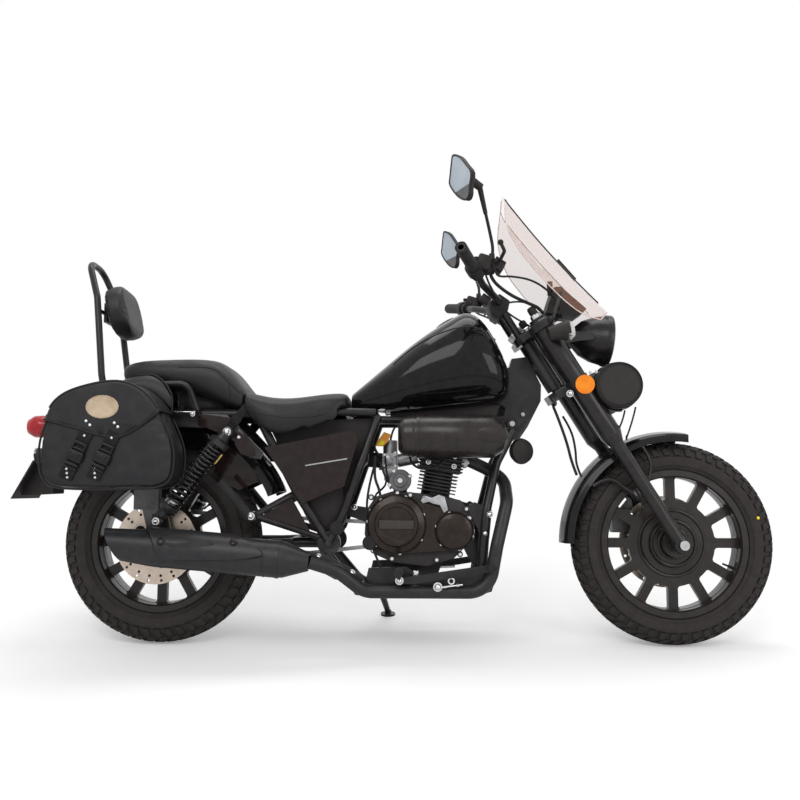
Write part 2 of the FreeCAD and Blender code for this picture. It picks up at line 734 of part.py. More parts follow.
def tool_bag():
    radius, half = cell("tool_bag_radius"), cell("tool_bag_half")
    body = lathe("tool_bag", [(-half, 0), (-half, radius - 4), (-half + 4, radius), (half - 4, radius),
                              (half, radius - 4), (half, 0)], "YZ_Plane")
    body.Placement = Placement(Vector(num("tool_bag_forward"), 0, num("tool_bag_height")), Rotation())
    legs = doc.addObject("Part::Feature", "fork_legs_room")
    legs.Shape = upright("fork_legs").fuse(upright("yokes"))
    cut = doc.addObject("Part::Cut", "tool_bag_dented")
    cut.Base = body
    cut.Tool = legs
    ready("tool_bag", cut)


def front_signals():
    shapes = []
    cover = num("fork_cover_radius")
    spread = num("fork_half_spread")
    for side in (-1, 1):
        middle = Vector(1154, side * 172, 912)
        nose = Vector(1214, side * 172, 924)
        bullet = rod(middle, nose, 19, 30)
        lens = rod(nose, nose + nose.sub(middle).normalize() * 12, 30, 22)
        root = in_fork(0, side * (spread + cover), 735)
        stalk = rod(root, Vector(1166, side * 162, 914), 7)
        signal = join([bullet, lens, stalk])
        for name in ("fork_legs", "yokes", "front_brackets"):
            signal = largest(signal.cut(upright(name)))
        shapes.append(signal)
        base = in_fork(6, side * (spread + cover + 3), 542)
        shapes.append(Part.makeCylinder(28, 7, base, Vector(0, side, 0)))
    made("front_signals", Part.makeCompound(shapes))


def front_caliper():
    # straddles the disc behind the left leg
    place = num("front_disc_place")
    gap = 7.25
    middle = front_axle + Vector(-136, 0, 63)
    body = block(middle.x, place + 2.5, middle.z, 56, 39, 70)
    slot = Part.makeCylinder(num("front_disc_radius") + 5, 2 * gap,
                             Vector(front_axle.x, place - gap, front_axle.z), left)
    body = body.cut(slot)
    bracket_end = in_fork(-20, num("fork_half_spread"), 150)
    bracket = prism([(middle.x, middle.z + 30), (bracket_end.x, bracket_end.z + 24),
                     (bracket_end.x + 10, bracket_end.z - 24), (middle.x, middle.z - 10)], 92, 8)
    link = block(middle.x - 6, 86, middle.z + 12, 30, 12, 30)
    made("front_caliper", join([body, bracket, link]).cut(upright("fork_legs")))


# Frame
def stand_lug():
    # the plate and pin under the left rail that carry the side stand
    start, axis = stand_pivot(), stand_axis()
    inward = Vector(0, -axis.z, axis.y)
    turn = Rotation(forward * -1, inward, axis, "ZXY")
    ear = Part.makeBox(32, 52, 6, Vector(-16, -16, -16))
    ear.Placement = Placement(start, turn)
    pin = Part.makeCylinder(num("stand_pivot_radius"), 30, start - axis * 16, axis)
    nut = Part.makeCylinder(num("stand_pivot_radius") + 5, 6, start + axis * 8, axis)
    return [ear, pin, nut]


def frame():
    offset, half = num("fork_offset"), num("cradle_half")
    low = num("lower_yoke_place") + num("yoke_thick") + num("headstock_gap")
    high = num("upper_yoke_place") - num("headstock_gap")
    stem, radius = num("stem_radius") + num("running_gap"), num("cradle_radius")
    bottom, top = in_fork(-offset, 0, low), in_fork(-offset, 0, high)
    head = rod(bottom, top, num("headstock_radius"))
    bore = rod(bottom - top.sub(bottom) * 0.1, top + top.sub(bottom) * 0.1, stem)
    spine = rod(Vector(556, 0, 700), in_fork(-offset, 0, 660), num("backbone_radius"))
    gusset = prism([(1063, 862), (1110, 868), (1152, 780), (1150, 731), (1109, 652), (1079, 608),
                    (1038, 624), (1012, 678), (1030, 740)], 0, 52)
    pivot = Vector(num("pivot_forward"), half - 4, num("pivot_height"))
    front, floor = num("cradle_front"), num("cradle_bottom")
    loop = [Vector(1062, 40, 640), Vector(1008, 66, 540), Vector(974, half - 8, 400),
            Vector(front, half, 250), Vector(front - 14, half, floor), Vector(600, half, floor),
            Vector(pivot.x - 3, half - 4, pivot.z - 34)]
    pieces = [head, spine, gusset]
    for side in (-1, 1):
        turn = (lambda v: v) if side == 1 else mirrored
        pieces.append(tube([turn(p) for p in loop], radius, 70))
        pieces.append(tube([turn(pivot), turn(Vector(560, half, 400)), turn(Vector(600, half, 520)),
                            turn(Vector(655, 92, 676))], radius - 1, 90))
        pieces.append(rod(turn(Vector(655, 92, 672)), turn(Vector(642, 0, 690)), radius - 3))
        pieces.append(tube([turn(pivot), turn(Vector(420, half, 450)), turn(Vector(305, half - 4, 668))],
                           radius - 1, 90))
        pieces.append(rod(turn(Vector(1062, 0, 650)), turn(Vector(1056, 44, 640)), radius))
        pieces.append(prism([(946, 222), (972, 240), (930, 345), (900, 310)], side * 35, 8))
        pieces.append(prism([(546, 388), (560, 414), (655, 400), (655, 350)], side * 35, 8))
        pieces.append(rod(turn(Vector(655, 86, 668)), turn(Vector(1038, 21, 665)), radius - 2))
        pieces.append(prism([(915, 412), (940, 425), (990, 402), (982, 320), (962, 318), (944, 360)],
                            side * (half - 7), 8))
    eyes = Part.makeCylinder(34, 2 * half + 6, Vector(pivot.x, -half - 3, pivot.z), left)
    between = Part.makeBox(100, 2 * (half - 16), 100, Vector(pivot.x - 50, -(half - 16), pivot.z - 50))
    pieces.append(eyes.cut(between))
    pieces.append(Part.makeCylinder(9, 2 * half + 26, Vector(pivot.x, -half - 13, pivot.z), left))
    for ahead, height, thick in ((600, floor, 12), (front - 2, 236, 11), (560, 400, 11)):
        pieces.append(rod(Vector(ahead, -half, height), Vector(ahead, half, height), thick))
    solid = join(pieces + stand_lug())
    made("frame", solid.cut(bore).cut(upright("engine_crankcase")).cut(upright("engine_covers")))


def subframe():
    radius, half, height = num("rail_radius"), num("rail_half"), num("rail_height")
    thick = num("strut_plate_thick")
    pieces = []
    for side in (-1, 1):
        turn = (lambda v: v) if side == 1 else mirrored
        pieces.append(tube([turn(Vector(648, 90, 690)), turn(Vector(520, 104, 690)),
                            turn(Vector(330, half, height)), turn(Vector(-170, half, height))],
                           radius, 200))
        pieces.append(prism([(-150, 683), (205, 683), (240, 652), (322, 566), (312, 548), (282, 552),
                             (236, 600), (205, 618), (150, 640), (-150, 648)],
                            side * (half + radius - 3 + thick / 2), thick))
        rail = [(-110, 152, 690), (-104, 156, 764), (100, 158, 768), (128, 152, 690)]
        pieces.append(tube([turn(Vector(*place)) for place in rail], 9, 40))
        pieces += [rod(turn(Vector(x, 124, 680)), turn(Vector(x, 154, 694)), 8) for x in (-110, 128)]
    for ahead, thick in ((-60, 8), (70, 8)):
        crown = fender_crown(ahead) + thick + 0.3
        pieces.append(rod(Vector(ahead, -half, crown), Vector(ahead, half, crown), thick))
    pieces.append(rod(Vector(-164, -half, height), Vector(-164, half, height), 10))
    pieces.append(rod(Vector(560, -104, 690), Vector(560, 104, 690), radius - 1))
    made("subframe", join(pieces).cut(upright("frame")))


def swingarm():
    spread, width, tall = num("arm_half_spread"), num("arm_width"), num("arm_height")
    pivot = Vector(num("pivot_forward"), 0, num("pivot_height"))
    shapes = []
    inner_half = num("cradle_half") - 17
    tube_part = Part.makeCylinder(num("pivot_radius"), 2 * inner_half, Vector(pivot.x, -inner_half, pivot.z),
                                  left)
    for side in (-1, 1):
        near = inner_half - 16
        arm = tube([Vector(pivot.x - 6, side * near, pivot.z), Vector(pivot.x - 90, side * near, pivot.z),
                    Vector(340, side * spread, 300), Vector(0, side * spread, rear_axle.z)], 15, 90)
        end = Part.makeCylinder(24, width, Vector(0, side * spread - width / 2, rear_axle.z), left)
        boss_side = side * (spread + width / 2 - 4)
        lug = prism([(-14, rear_axle.z), (-4, 388), (40, 388), (60, rear_axle.z)], side * spread, 14)
        stud = rod(Vector(20, side * spread, 368), Vector(20, side * 164, 368), 6)
        shapes += [arm, end, lug, stud]
    bridge = rod(Vector(400, -spread, 303), Vector(400, spread, 303), 14)
    solid = join(shapes + [tube_part, bridge])
    hole = Part.makeCylinder(num("rear_axle_radius") + num("running_gap"), 400,
                             Vector(0, -200, rear_axle.z), left)
    pin_hole = Part.makeCylinder(9 + num("running_gap"), 400, Vector(pivot.x, -200, pivot.z), left)
    made("swingarm", solid.cut(hole).cut(pin_hole))


# Engine
def engine():
    half = num("crankcase_half")
    cx, cz = num("clutch_forward"), num("clutch_height")
    kx, kz = num("crank_forward"), num("crank_height")
    outline_points = [(618, 330), (640, 276), (700, 250), (800, 238), (880, 262), (938, 320),
                      (940, 380), (900, 430), (800, 448), (700, 456), (650, 440), (622, 400)]
    case = prism(outline_points, 0, 2 * half - 12)
    sump = prism([(690, 256), (710, 205), (830, 205), (850, 256)], 0, 150)
    starter = rod(Vector(722, -106, 487), Vector(722, -36, 487), 32)
    starter_foot = block(722, -66, 452, 40, 50, 30)
    sprocket_room = Part.makeBox(120, 60, 130, Vector(585, 70, 257))
    made("engine_crankcase", join([case, sump, starter, starter_foot]).cut(sprocket_room))
    face = half - 6
    round_cover, small_round = num("clutch_radius"), num("small_cover_radius")
    clutch = lathe_shape([(0, 0), (0, round_cover), (16, round_cover), (25, round_cover - 7),
                          (30, round_cover - 24), (39, round_cover - 27), (40, round_cover - 36),
                          (36, round_cover - 40), (36, 0)])
    clutch.Placement = Placement(Vector(cx, -face, cz), Rotation(up, -90))
    small = lathe_shape([(0, 0), (0, small_round), (18, small_round), (27, small_round - 7),
                         (31, small_round - 22), (32, 0)])
    small.Placement = Placement(Vector(kx, -face, kz), Rotation(up, -90))
    belly = prism([(cx, cz - round_cover + 2), (kx, kz - small_round + 2), (kx, kz + small_round - 2),
                   (cx, cz + round_cover - 2)], -face - 8, 16)
    band = block(cx, -face - 34, cz, 2 * (round_cover - 38), 16, 24)
    right = join([clutch, small, belly, band])
    flywheel = lathe_shape([(0, 0), (0, 74), (20, 74), (32, 66), (36, 40), (38, 0)])
    flywheel.Placement = Placement(Vector(kx - 26, face, kz + 8), Rotation(up, 90))
    chain_cover = prism([(628, 300), (640, 280), (730, 280), (760, 330), (740, 410), (650, 400)],
                        face + 14, 28)
    left_cover = join([flywheel, chain_cover])
    made("engine_covers", Part.makeCompound([right, left_cover]))


def lathe_shape(points):
    # a turned solid about x, given as places along x and radii
    corners = [Vector(a, 0, r) for a, r in points]
    face = Part.Face(Part.makePolygon(corners + corners[:1]))
    return face.revolve(Vector(0, 0, 0), forward, 360)


def cylinder_frame():
    base = Vector(826, 0, 440)
    return Placement(base, Rotation(left, num("cylinder_tilt")))


def cylinder_and_head():
    half, count = num("cylinder_half"), int(num("fin_count"))
    thick, pitch = num("fin_thick"), num("fin_pitch")
    barrel = Part.makeCylinder(44, 78, Vector(0, 0, 0), up)
    fins = [block(0, 0, 14 + pitch * i + thick / 2, 2 * half, 2 * half, thick) for i in range(count)]
    cylinder = join([barrel] + fins)
    cylinder.Placement = cylinder_frame()
    case = upright("engine_crankcase")
    made("cylinder", cylinder.cut(case))
    base = block(0, 0, 78 + 24, 124, 120, 48)
    fins = [block(0, 0, 84 + pitch * i, 138, 136, thick) for i in range(4)]
    cover = block(-4, 0, 145, 108, 96, 44)
    cover = cover.makeFillet(12, [e for e in cover.Edges if e.CenterOfMass.z > 160])
    head = join([base, cover] + fins)
    head.Placement = cylinder_frame()
    made("cylinder_head", head)


def carburettor():
    body = block(690, -10, 545, 46, 56, 50)
    bowl = block(690, -10, 505, 36, 40, 34)
    cap = rod(Vector(690, -10, 570), Vector(690, -10, 610), 22)
    intake = rod(Vector(712, -8, 548), Vector(772, -4, 560), 20)
    boot = rod(Vector(668, -8, 548), Vector(625, -6, 552), 23)
    made("carburettor", join([body, bowl, cap, intake, boot]).cut(upright("cylinder_head")))


def air_canister():
    radius, length = cell("canister_radius"), cell("canister_length")
    body = lathe("canister_shell", [(0, 0), (0, radius - 22), (14, radius - 6), (46, radius - 2),
                                    (50, radius - 4), (54, radius), (length - 40, radius),
                                    (length - 12, radius - 18), (length, radius - 40), (length, 0)])
    body.Placement = Placement(Vector(717, num("canister_left"), 614), Rotation())
    arm = doc.addObject("Part::Cylinder", "canister_arm")
    arm.Radius = 14
    arm.Height = 76
    arm.Placement = Placement(Vector(846, num("canister_left") + 36, 588), Rotation(forward, -90))
    whole = doc.addObject("Part::Fuse", "canister_with_arm")
    whole.Base = body
    whole.Tool = arm
    ready("air_canister", whole)


def exhaust():
    radius = num("pipe_radius")
    side = num("muffler_left")
    points = [Vector(905, -20, 560), Vector(975, -20, 528), Vector(1034, -45, 492),
              Vector(1034, -114, 425), Vector(1000, -150, 300), Vector(975, -158, 172),
              Vector(620, -158, 172), Vector(545, -180, 232), Vector(468, side, 258)]
    pipe = tube(points, radius, 70)
    wide, length = num("muffler_radius"), num("muffler_length")
    shell = lathe_shape([(0, 0), (0, 26), (70, wide - 2), (90, wide), (length - 130, wide),
                         (length, wide - 6), (length, wide - 12), (length - 30, wide - 12.5),
                         (length - 30, 0)])
    slope = math.degrees(math.atan2(312 - 262, 600))
    shell.Placement = Placement(Vector(468, side, 258), Rotation(left, 180 + slope))
    guard = prism([(640, 176), (985, 236), (998, 212), (985, 172), (922, 152), (680, 152)], -141, 6)
    made("exhaust", join([pipe, shell, guard]).cut(upright("cylinder_head")))


# Bodywork
def tank():
    profile = [(573, 686, 752, 60), (640, 688, 808, 92), (720, 692, 876, 120), (800, 699, 938, 138),
               (880, 706, 988, 146), (930, 711, 1004, 146), (985, 717, 962, 138), (1030, 728, 880, 112),
               (1050, 748, 830, 72)]
    body = loft_body("tank_shell", [(x, oval_section(w, lo, hi)) for x, lo, hi, w in profile])
    radius = num("backbone_radius")
    spine_start, spine_end = Vector(556, 0, 700), in_fork(-num("fork_offset"), 0, 660)
    way = spine_end.sub(spine_start)
    slot = doc.addObject("Part::Feature", "tank_tunnel")
    room = rod(spine_start - way * 0.1, spine_end, radius + 0.3)
    below = room.copy()
    shapes = [room]
    box = Part.makeBox(way.Length * 1.1, 2 * (radius + 0.3), 200,
                       Vector(-way.Length * 0.1, -(radius + 0.3), -200))
    box.Placement = Placement(spine_start, Rotation(forward, way)).multiply(Placement())
    gusset_room = prism([(1000, 600), (1000, 900), (1200, 900), (1200, 600)], 0, 53)
    strut_room = prism([(618, 600), (618, 702), (674, 702), (674, 600)], 0, 240)
    slot.Shape = room.fuse([box, gusset_room, strut_room])
    cut = doc.addObject("Part::Cut", "tank_with_tunnel")
    cut.Base = body
    cut.Tool = slot
    ready("fuel_tank", cut)


def seats():
    rider = [(262.3, 664, 752, 150), (310, 628, 740, 165), (360, 608, 733, 168), (440, 618, 738, 152),
             (520, 636, 748, 138), (568, 668, 748, 112)]
    body = loft_body("rider_cushion", [(x, oval_section(w, lo, hi, 0.5, 3.6)) for x, lo, hi, w in rider])
    room = doc.addObject("Part::Feature", "rider_seat_room")
    broad = prism([(200, 500), (200, 695.3), (330, 695.3), (445, 699.5), (445, 500)], 0, 274)
    narrow = prism([(445, 500), (445, 699.5), (520, 702.3), (700, 702.3), (700, 500)], 0, 254)
    room.Shape = broad.fuse([narrow, block(600, 0, 702, 140, 50, 44)])
    cut = doc.addObject("Part::Cut", "rider_seat_cut")
    cut.Base = body
    cut.Tool = room
    ready("rider_seat", cut)
    pillion = [(-118, 782, 832, 92), (-60, 770, 846, 128), (40, 752, 851, 145), (140, 728, 850, 150),
               (205, 700, 824, 148), (235, 690, 790, 144), (262, 680, 758, 138)]
    body = loft_body("pillion_cushion", [(x, oval_section(w, lo, hi, 0.45, 3.4))
                                         for x, lo, hi, w in pillion])
    room = doc.addObject("Part::Feature", "pillion_room")
    room.Shape = prism([(200, 500), (200, 695.3), (320, 695.3), (320, 500)], 0, 280)
    base = doc.addObject("Part::Feature", "pillion_base")
    base.Shape = block(120, 0, 725, 140, 190, 59).cut(upright("subframe"))
    padded = doc.addObject("Part::Fuse", "pillion_with_base")
    padded.Base = body
    padded.Tool = base
    cut = doc.addObject("Part::Cut", "pillion_cut")
    cut.Base = padded
    cut.Tool = room
    trimmed = doc.addObject("Part::Cut", "pillion_seat_cut")
    trimmed.Base = cut
    trimmed.Tool = seat_gap()
    ready("pillion_seat", trimmed)


def seat_gap():
    # the space that the rider seat's tail fills, so that the two cushions only meet
    gap = doc.addObject("Part::Feature", "seat_gap")
    gap.Shape = prism([(262, 600), (262, 900), (420, 900), (420, 600)], 0, 400)
    return gap


def sissy_bar():
    points = [Vector(-150, -120, 695.3), Vector(-170, -120, 800), Vector(-200, -100, 1040),
              Vector(-246, -55, 1160), Vector(-250, 0, 1172)]
    path = points + [mirrored(p) for p in reversed(points[:-1])]
    path = [p for p in path if abs(p.y) > 1]
    hoop = tube(path, 10, 55)
    shelf = block(-188, 0, 1000, 10, 120, 60)
    brace = rod(Vector(-195, -106, 1000), Vector(-195, 106, 1000), 6)
    made("sissy_bar", join([hoop, brace, shelf]).cut(upright("subframe")))
    thick, wide, tall = num("pad_thick"), num("pad_wide"), num("pad_tall")
    pad_shape = Part.makeBox(thick, wide, tall, Vector(0, -wide / 2, -tall / 2))
    lengthwise = [e for e in pad_shape.Edges if abs(e.CenterOfMass.x - thick / 2) < 1]
    pad_shape = pad_shape.makeFillet(tall * 0.2, lengthwise)
    front_edges = [e for e in pad_shape.Edges if abs(e.CenterOfMass.x - thick) < 0.1]
    pad_shape = pad_shape.makeFillet(thick * 0.3, front_edges)
    pad_shape.Placement = Placement(Vector(-176.4, 0, 1002), Rotation(left, -14))
    made("backrest_pad", pad_shape.cut(upright("sissy_bar")))


def side_covers():
    # the battery box between the frame tubes carries a panel on each side
    points = [(326, 582), (590, 634), (598, 600), (560, 470), (440, 420)]
    place = num("cradle_half") + num("cradle_radius") - 1 + 0.3 + 7
    panels = [prism(points, side * place, 14) for side in (-1, 1)]
    box = prism([(330, 662), (640, 674), (621, 600), (621, 545), (596, 520), (545, 350), (505, 350),
                 (420, 440), (375, 520), (350, 600)], 0, 144)
    posts = [rod(Vector(480, -place, z), Vector(480, place, z), 9) for z in (470, 560)]
    made("side_covers", join([box] + panels + posts).cut(upright("frame")))


def fender_crown(ahead):
    # height of the rear fender's top line at a place along the bike
    reach = num("rear_fender_radius") + 7
    return num("rear_fender_height") + math.sqrt(reach ** 2 - (ahead - num("rear_fender_forward")) ** 2)


def rear_fender():
    middle = Vector(num("rear_fender_forward"), 0, num("rear_fender_height"))
    inner, thick, half = num("rear_fender_radius"), 3, 80
    points = [Vector(0, -half, inner - 40), Vector(0, -half + 14, inner - 6), Vector(0, 0, inner + 4),
              Vector(0, half - 14, inner - 6), Vector(0, half, inner - 40),
              Vector(0, half + thick, inner - 40), Vector(0, half - 12, inner - 3),
              Vector(0, 0, inner + 4 + thick), Vector(0, -half + 12, inner - 3),
              Vector(0, -half - thick, inner - 40)]
    face = Part.Face(Part.makePolygon(points + points[:1]))
    shell = face.revolve(Vector(0, 0, 0), left, -130)
    shell.rotate(Vector(0, 0, 0), left, 68)
    shell.translate(middle)
    made("rear_fender", shell)


def tail():
    arm = block(-273, 0, 682, 198, 60, 12)
    strap = prism([(-372, 688), (-364, 688), (-364, 676), (-366, 545), (-378, 545), (-374, 676)], 0, 60)
    board = prism([(-378, 545), (-372, 545), (-434, 430), (-440, 430)], 0, 180)
    gusset = [prism([(-376, 545), (-430, 440), (-335, 445), (-330, 540)], side * 40, 4) for side in (-1, 1)]
    bracket = join([arm, strap, board] + gusset).cut(upright("rear_fender")).cut(upright("subframe"))
    made("plate_bracket", bracket)
    lamp = lathe_shape([(0, 0), (0, 30), (14, 35), (40, 34), (58, 24), (66, 0)])
    lamp.Placement = Placement(Vector(-374.3, 0, 652), Rotation(left, 180))
    signals = []
    for side in (-1, 1):
        bullet = rod(Vector(-300, side * 135, 560), Vector(-345, side * 135, 556), 16, 24)
        stalk = rod(Vector(-270, side * 67, 535), Vector(-312, side * 132, 558), 6)
        signals.append(join([bullet, stalk]).cut(upright("rear_fender")))
    made("rear_lamps", Part.makeCompound([lamp.cut(upright("plate_bracket"))] + signals))


def bag_outline(shrink=0):
    # side view of a bag: flat bottom, bulging rear, rounded top
    points = [(-246, 648), (-263, 560), (-255, 500), (-214, 464), (-99, 459), (5, 462), (85, 470),
              (106, 520), (104, 590), (65, 669), (20, 725), (-33, 750), (-97, 748), (-181, 725),
              (-225, 692)]
    cx, cz = -80, 600
    return [(x + (cx - x) / math.hypot(cx - x, cz - z) * shrink,
             z + (cz - z) / math.hypot(cx - x, cz - z) * shrink) for x, z in points]


def saddlebags():
    inner, depth, wall, gap = num("bag_inner"), num("bag_depth"), num("bag_wall"), num("bag_gap")
    middle = inner + depth / 2
    flap_wall = num("flap_wall")
    whole = prism(bag_outline(), middle, depth)
    room = prism(bag_outline(wall), middle, depth - 2 * wall)
    shell = whole.cut(room)
    # the mouth: everything above the lid line goes with the flap
    mouth = prism([(-400, 700), (-400, 900), (300, 900), (300, 700)], middle, depth - 2 * wall)
    shell = shell.cut(mouth)
    lid_line = [(-420, 690), (-420, 900), (300, 900), (300, 690)]
    top_room = prism(lid_line, middle + wall, depth)
    tray = shell.cut(top_room)
    flap_top = prism(bag_outline(-flap_wall - gap), middle + (flap_wall + gap) / 2 + wall / 2,
                     depth + flap_wall + gap - wall)
    hollow = prism(bag_outline(-gap), middle, depth + 2 * gap)
    lid = flap_top.cut(hollow)
    keep = prism([(-300, 672), (-150, 622), (-59, 603), (-10, 616), (90, 690), (120, 900), (-300, 900)],
                 middle + 100, depth + 260)
    lid = lid.common(keep)
    behind = prism(lid_line, inner - 50, 100)
    lid = lid.cut(behind)
    for name, side in (("left", 1), ("right", -1)):
        bag, flap = tray, lid
        if side == -1:
            bag = tray.mirror(Vector(0, 0, 0), left)
            flap = lid.mirror(Vector(0, 0, 0), left)
        made("saddlebag_" + name, bag)
        made("flap_" + name, flap)


def bag_yoke():
    # the leather band over the fender that carries both bags
    inner = num("bag_inner")
    half = inner - 0.3
    low, high = 715, 740
    band = prism([(-100, low), (-100, high), (40, high), (40, low)], 0, 2 * half)
    made("bag_yoke", band.cut(upright("subframe")))


def shocks():
    shapes = []
    top, foot = Vector(219, 0, 626), Vector(20, 0, 368)
    for side in (-1, 1):
        place = Vector(0, side * 150, 0)
        way = foot.sub(top).normalize()
        a, b = top + place, foot + place
        eye_top = Part.makeCylinder(14, 22, a - Vector(0, 11, 0), left)
        eye_foot = Part.makeCylinder(14, 22, b - Vector(0, 11, 0), left)
        body = rod(a + way * 10, b - way * 10, 15)
        collar_top = rod(a + way * 34, a + way * 48, 29)
        collar_foot = rod(b - way * 60, b - way * 40, 29)
        spring = rod(a + way * 48, b - way * 60, 27)
        solid = join([eye_top, eye_foot, body, collar_top, collar_foot, spring])
        solid = solid.cut(Part.makeCylinder(6.05, 60, b - Vector(0, 30, 0), left))
        bolt = rod(a - Vector(0, side * 18, 0), a + Vector(0, side * 14, 0), 7)
        shapes.append(join([solid, bolt]).cut(upright("subframe")))
    made("shock_absorbers", Part.makeCompound(shapes))


def foot_controls():
    # rider pegs with brake and shift levers, and the passenger pegs, folded up on their brackets
    half = num("cradle_half")
    shapes = []
    for side in (-1, 1):
        turn = (lambda v: v) if side == 1 else mirrored
        peg = rod(turn(Vector(720, half + 8, 226)), turn(Vector(720, 262, 232)), 13)
        arm = prism([(625, 205), (632, 236), (740, 240), (762, 226), (762, 205), (735, 170), (700, 168)],
                    side * (half + 11), 10)
        bar_side = half + 64.5
        lever = prism([(716, 198), (722, 212), (745, 216), (985, 252), (1000, 242), (988, 232), (765, 196)],
                      side * bar_side, 8)
        tread = rod(turn(Vector(980, bar_side, 242)), turn(Vector(980, bar_side + 36, 242)), 8)
        post = rod(turn(Vector(742, half + 8, 206)), turn(Vector(742, bar_side + 2, 206)), 7)
        shapes.append(join([peg, arm, lever, tread, post]))
        hinge = turn(Vector(300, 152, 384))
        low = rod(hinge, turn(Vector(486, half, 322)), 9)
        high = rod(hinge, turn(Vector(418, half, 452)), 9)
        folded = rod(turn(Vector(292, 168, 380)), turn(Vector(205, 172, 482)), 14)
        knuckle = Part.makeCylinder(14, 34, Vector(298, side * 160 - 17, 384), left)
        shapes.append(join([low, high, knuckle, folded]))
    tools = [upright(name) for name in ("frame", "exhaust", "shock_absorbers")]
    trimmed = []
    for shape in shapes:
        for tool in tools:
            shape = shape.cut(tool)
        trimmed.append(shape)
    made("foot_controls", Part.makeCompound(trimmed))


def chain():
    side, radius = num("rear_disc_place"), num("sprocket_radius")
    front_radius = 34
    front = Vector(655, side, 322)
    rear = Vector(0, side, rear_axle.z)

    def loop(extra):
        big = Part.makeCylinder(radius + extra, 12, rear - Vector(0, 6, 0), left)
        small = Part.makeCylinder(front_radius + extra, 12, front - Vector(0, 6, 0), left)
        span = prism([(rear.x, rear.z + radius + extra), (front.x, front.z + front_radius + extra),
                      (front.x, front.z - front_radius - extra), (rear.x, rear.z - radius - extra)],
                     side, 12)
        return join([big, small, span])

    sprocket = Part.makeCylinder(front_radius - 2, 6, front - Vector(0, 3, 0), left)
    shaft = Part.makeCylinder(12, 20, front - Vector(0, 14, 0), left)
    made("drive_chain", join([loop(7).cut(loop(-5)), sprocket, shaft]).cut(upright("engine_crankcase")))


def rear_caliper():
    place = -num("rear_disc_place")
    middle = rear_axle + Vector(-30, place, 142)
    body = block(middle.x, place, middle.z, 74, 30, 86)
    slot = Part.makeCylinder(num("rear_disc_radius") + 5, 14.5,
                             Vector(0, place - 7.25, rear_axle.z), left)
    body = body.cut(slot)
    arm = prism([(-40, rear_axle.z + 100), (20, rear_axle.z + 100), (20, rear_axle.z + 20),
                 (-20, rear_axle.z + 20)], place - 13.5, 7)
    made("rear_caliper", join([body, arm]).cut(upright("swingarm")))


def horn():
    body = lathe_shape([(0, 0), (0, 34), (14, 40), (26, 36), (30, 0)])
    body.Placement = Placement(Vector(1084, -2, 578), Rotation(forward, Vector(0.4, -0.9, 0)))
    hanger = rod(Vector(1084, 0, 585), Vector(1078, 0, 622), 6)
    made("horn", join([body, hanger]).cut(upright("frame")))


# Stand
def stand_pivot():
    return Vector(650, num("cradle_half") + 34, num("cradle_bottom") - 12)


def stand_foot():
    # the foot stands flat on the leaned ground
    start = stand_pivot()
    aside = start.y + num("stand_reach")
    return Vector(start.x + 26, aside, aside * math.tan(math.radians(num("lean_angle"))))


def stand_axis():
    # the leg folds back in the plane square to this axis
    way = stand_foot().sub(stand_pivot())
    return Vector(0, -way.z, way.y).normalize()


def side_stand():
    start, foot, axis = stand_pivot(), stand_foot(), stand_axis()
    lean_angle = math.radians(num("lean_angle"))
    pad_up = Vector(0, -math.sin(lean_angle), math.cos(lean_angle))
    sole = Part.makeCylinder(24, 6, foot, pad_up)
    leg = rod(start, foot + pad_up * 12, num("stand_radius"), 9)
    ankle = rod(foot + pad_up * 2, foot + pad_up * 16, 11)
    hub = Part.makeCylinder(16, 12, start - axis * 6, axis)
    hole = Part.makeCylinder(num("stand_pivot_radius") + num("running_gap"), 60, start - axis * 30, axis)
    room = Part.makeCylinder(30, 30, start - axis * 36, axis)
    beyond = Part.makeCylinder(30, 30, start + axis * 6, axis)
    made("side_stand", join([leg, hub, sole, ankle]).cut(hole).cut(room).cut(beyond))


wheels()
yokes()
fork_legs()
axle("front_axle", num("front_axle_radius"), num("fork_half_spread") + 33,
     (num("front_disc_place") + num("disc_thick") / 2, num("front_hub_half")),
     num("fork_half_spread") - num("fork_lower_radius"), front_axle)
handlebar()
hand_controls()
mirrors()
doc.recompute()
headlight()
doc.recompute()
front_brackets()
windshield()
instrument_pod()
front_fender()
tool_bag()
front_signals()
front_caliper()
engine()
frame()
subframe()
swingarm()
axle("rear_axle", num("rear_axle_radius"), num("arm_half_spread") + 26,
     (num("rear_disc_place") + num("sprocket_thick") / 2,
      num("rear_disc_place") + num("disc_thick") / 2),
     num("arm_half_spread") - 15, rear_axle)
cylinder_and_head()
carburettor()
air_canister()
exhaust()
tank()
seats()
sissy_bar()
side_covers()
rear_fender()
tail()
saddlebags()
bag_yoke()
shocks()
foot_controls()
chain()
rear_caliper()
horn()
side_stand()


# Build, check every object and every sub-part, then write one file for each sub-part
doc.recompute()
for thing in doc.Objects:
    if "Invalid" in thing.State or "Error" in thing.State:
        raise RuntimeError("%s failed: %s" % (thing.Label, thing.State))
for name, thing in subparts.items():
    if thing.Shape.isNull() or not thing.Shape.isValid():
        raise RuntimeError("%s has no sound shape" % name)
os.makedirs("parts", exist_ok=True)
for name, thing in subparts.items():
    thing.Shape.exportStep("parts/%s.step" % name)
print("%d sub-parts written" % len(subparts))
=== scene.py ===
import json
import math

import bmesh
import bpy
from mathutils import Matrix, Vector
from mathutils.bvhtree import BVHTree


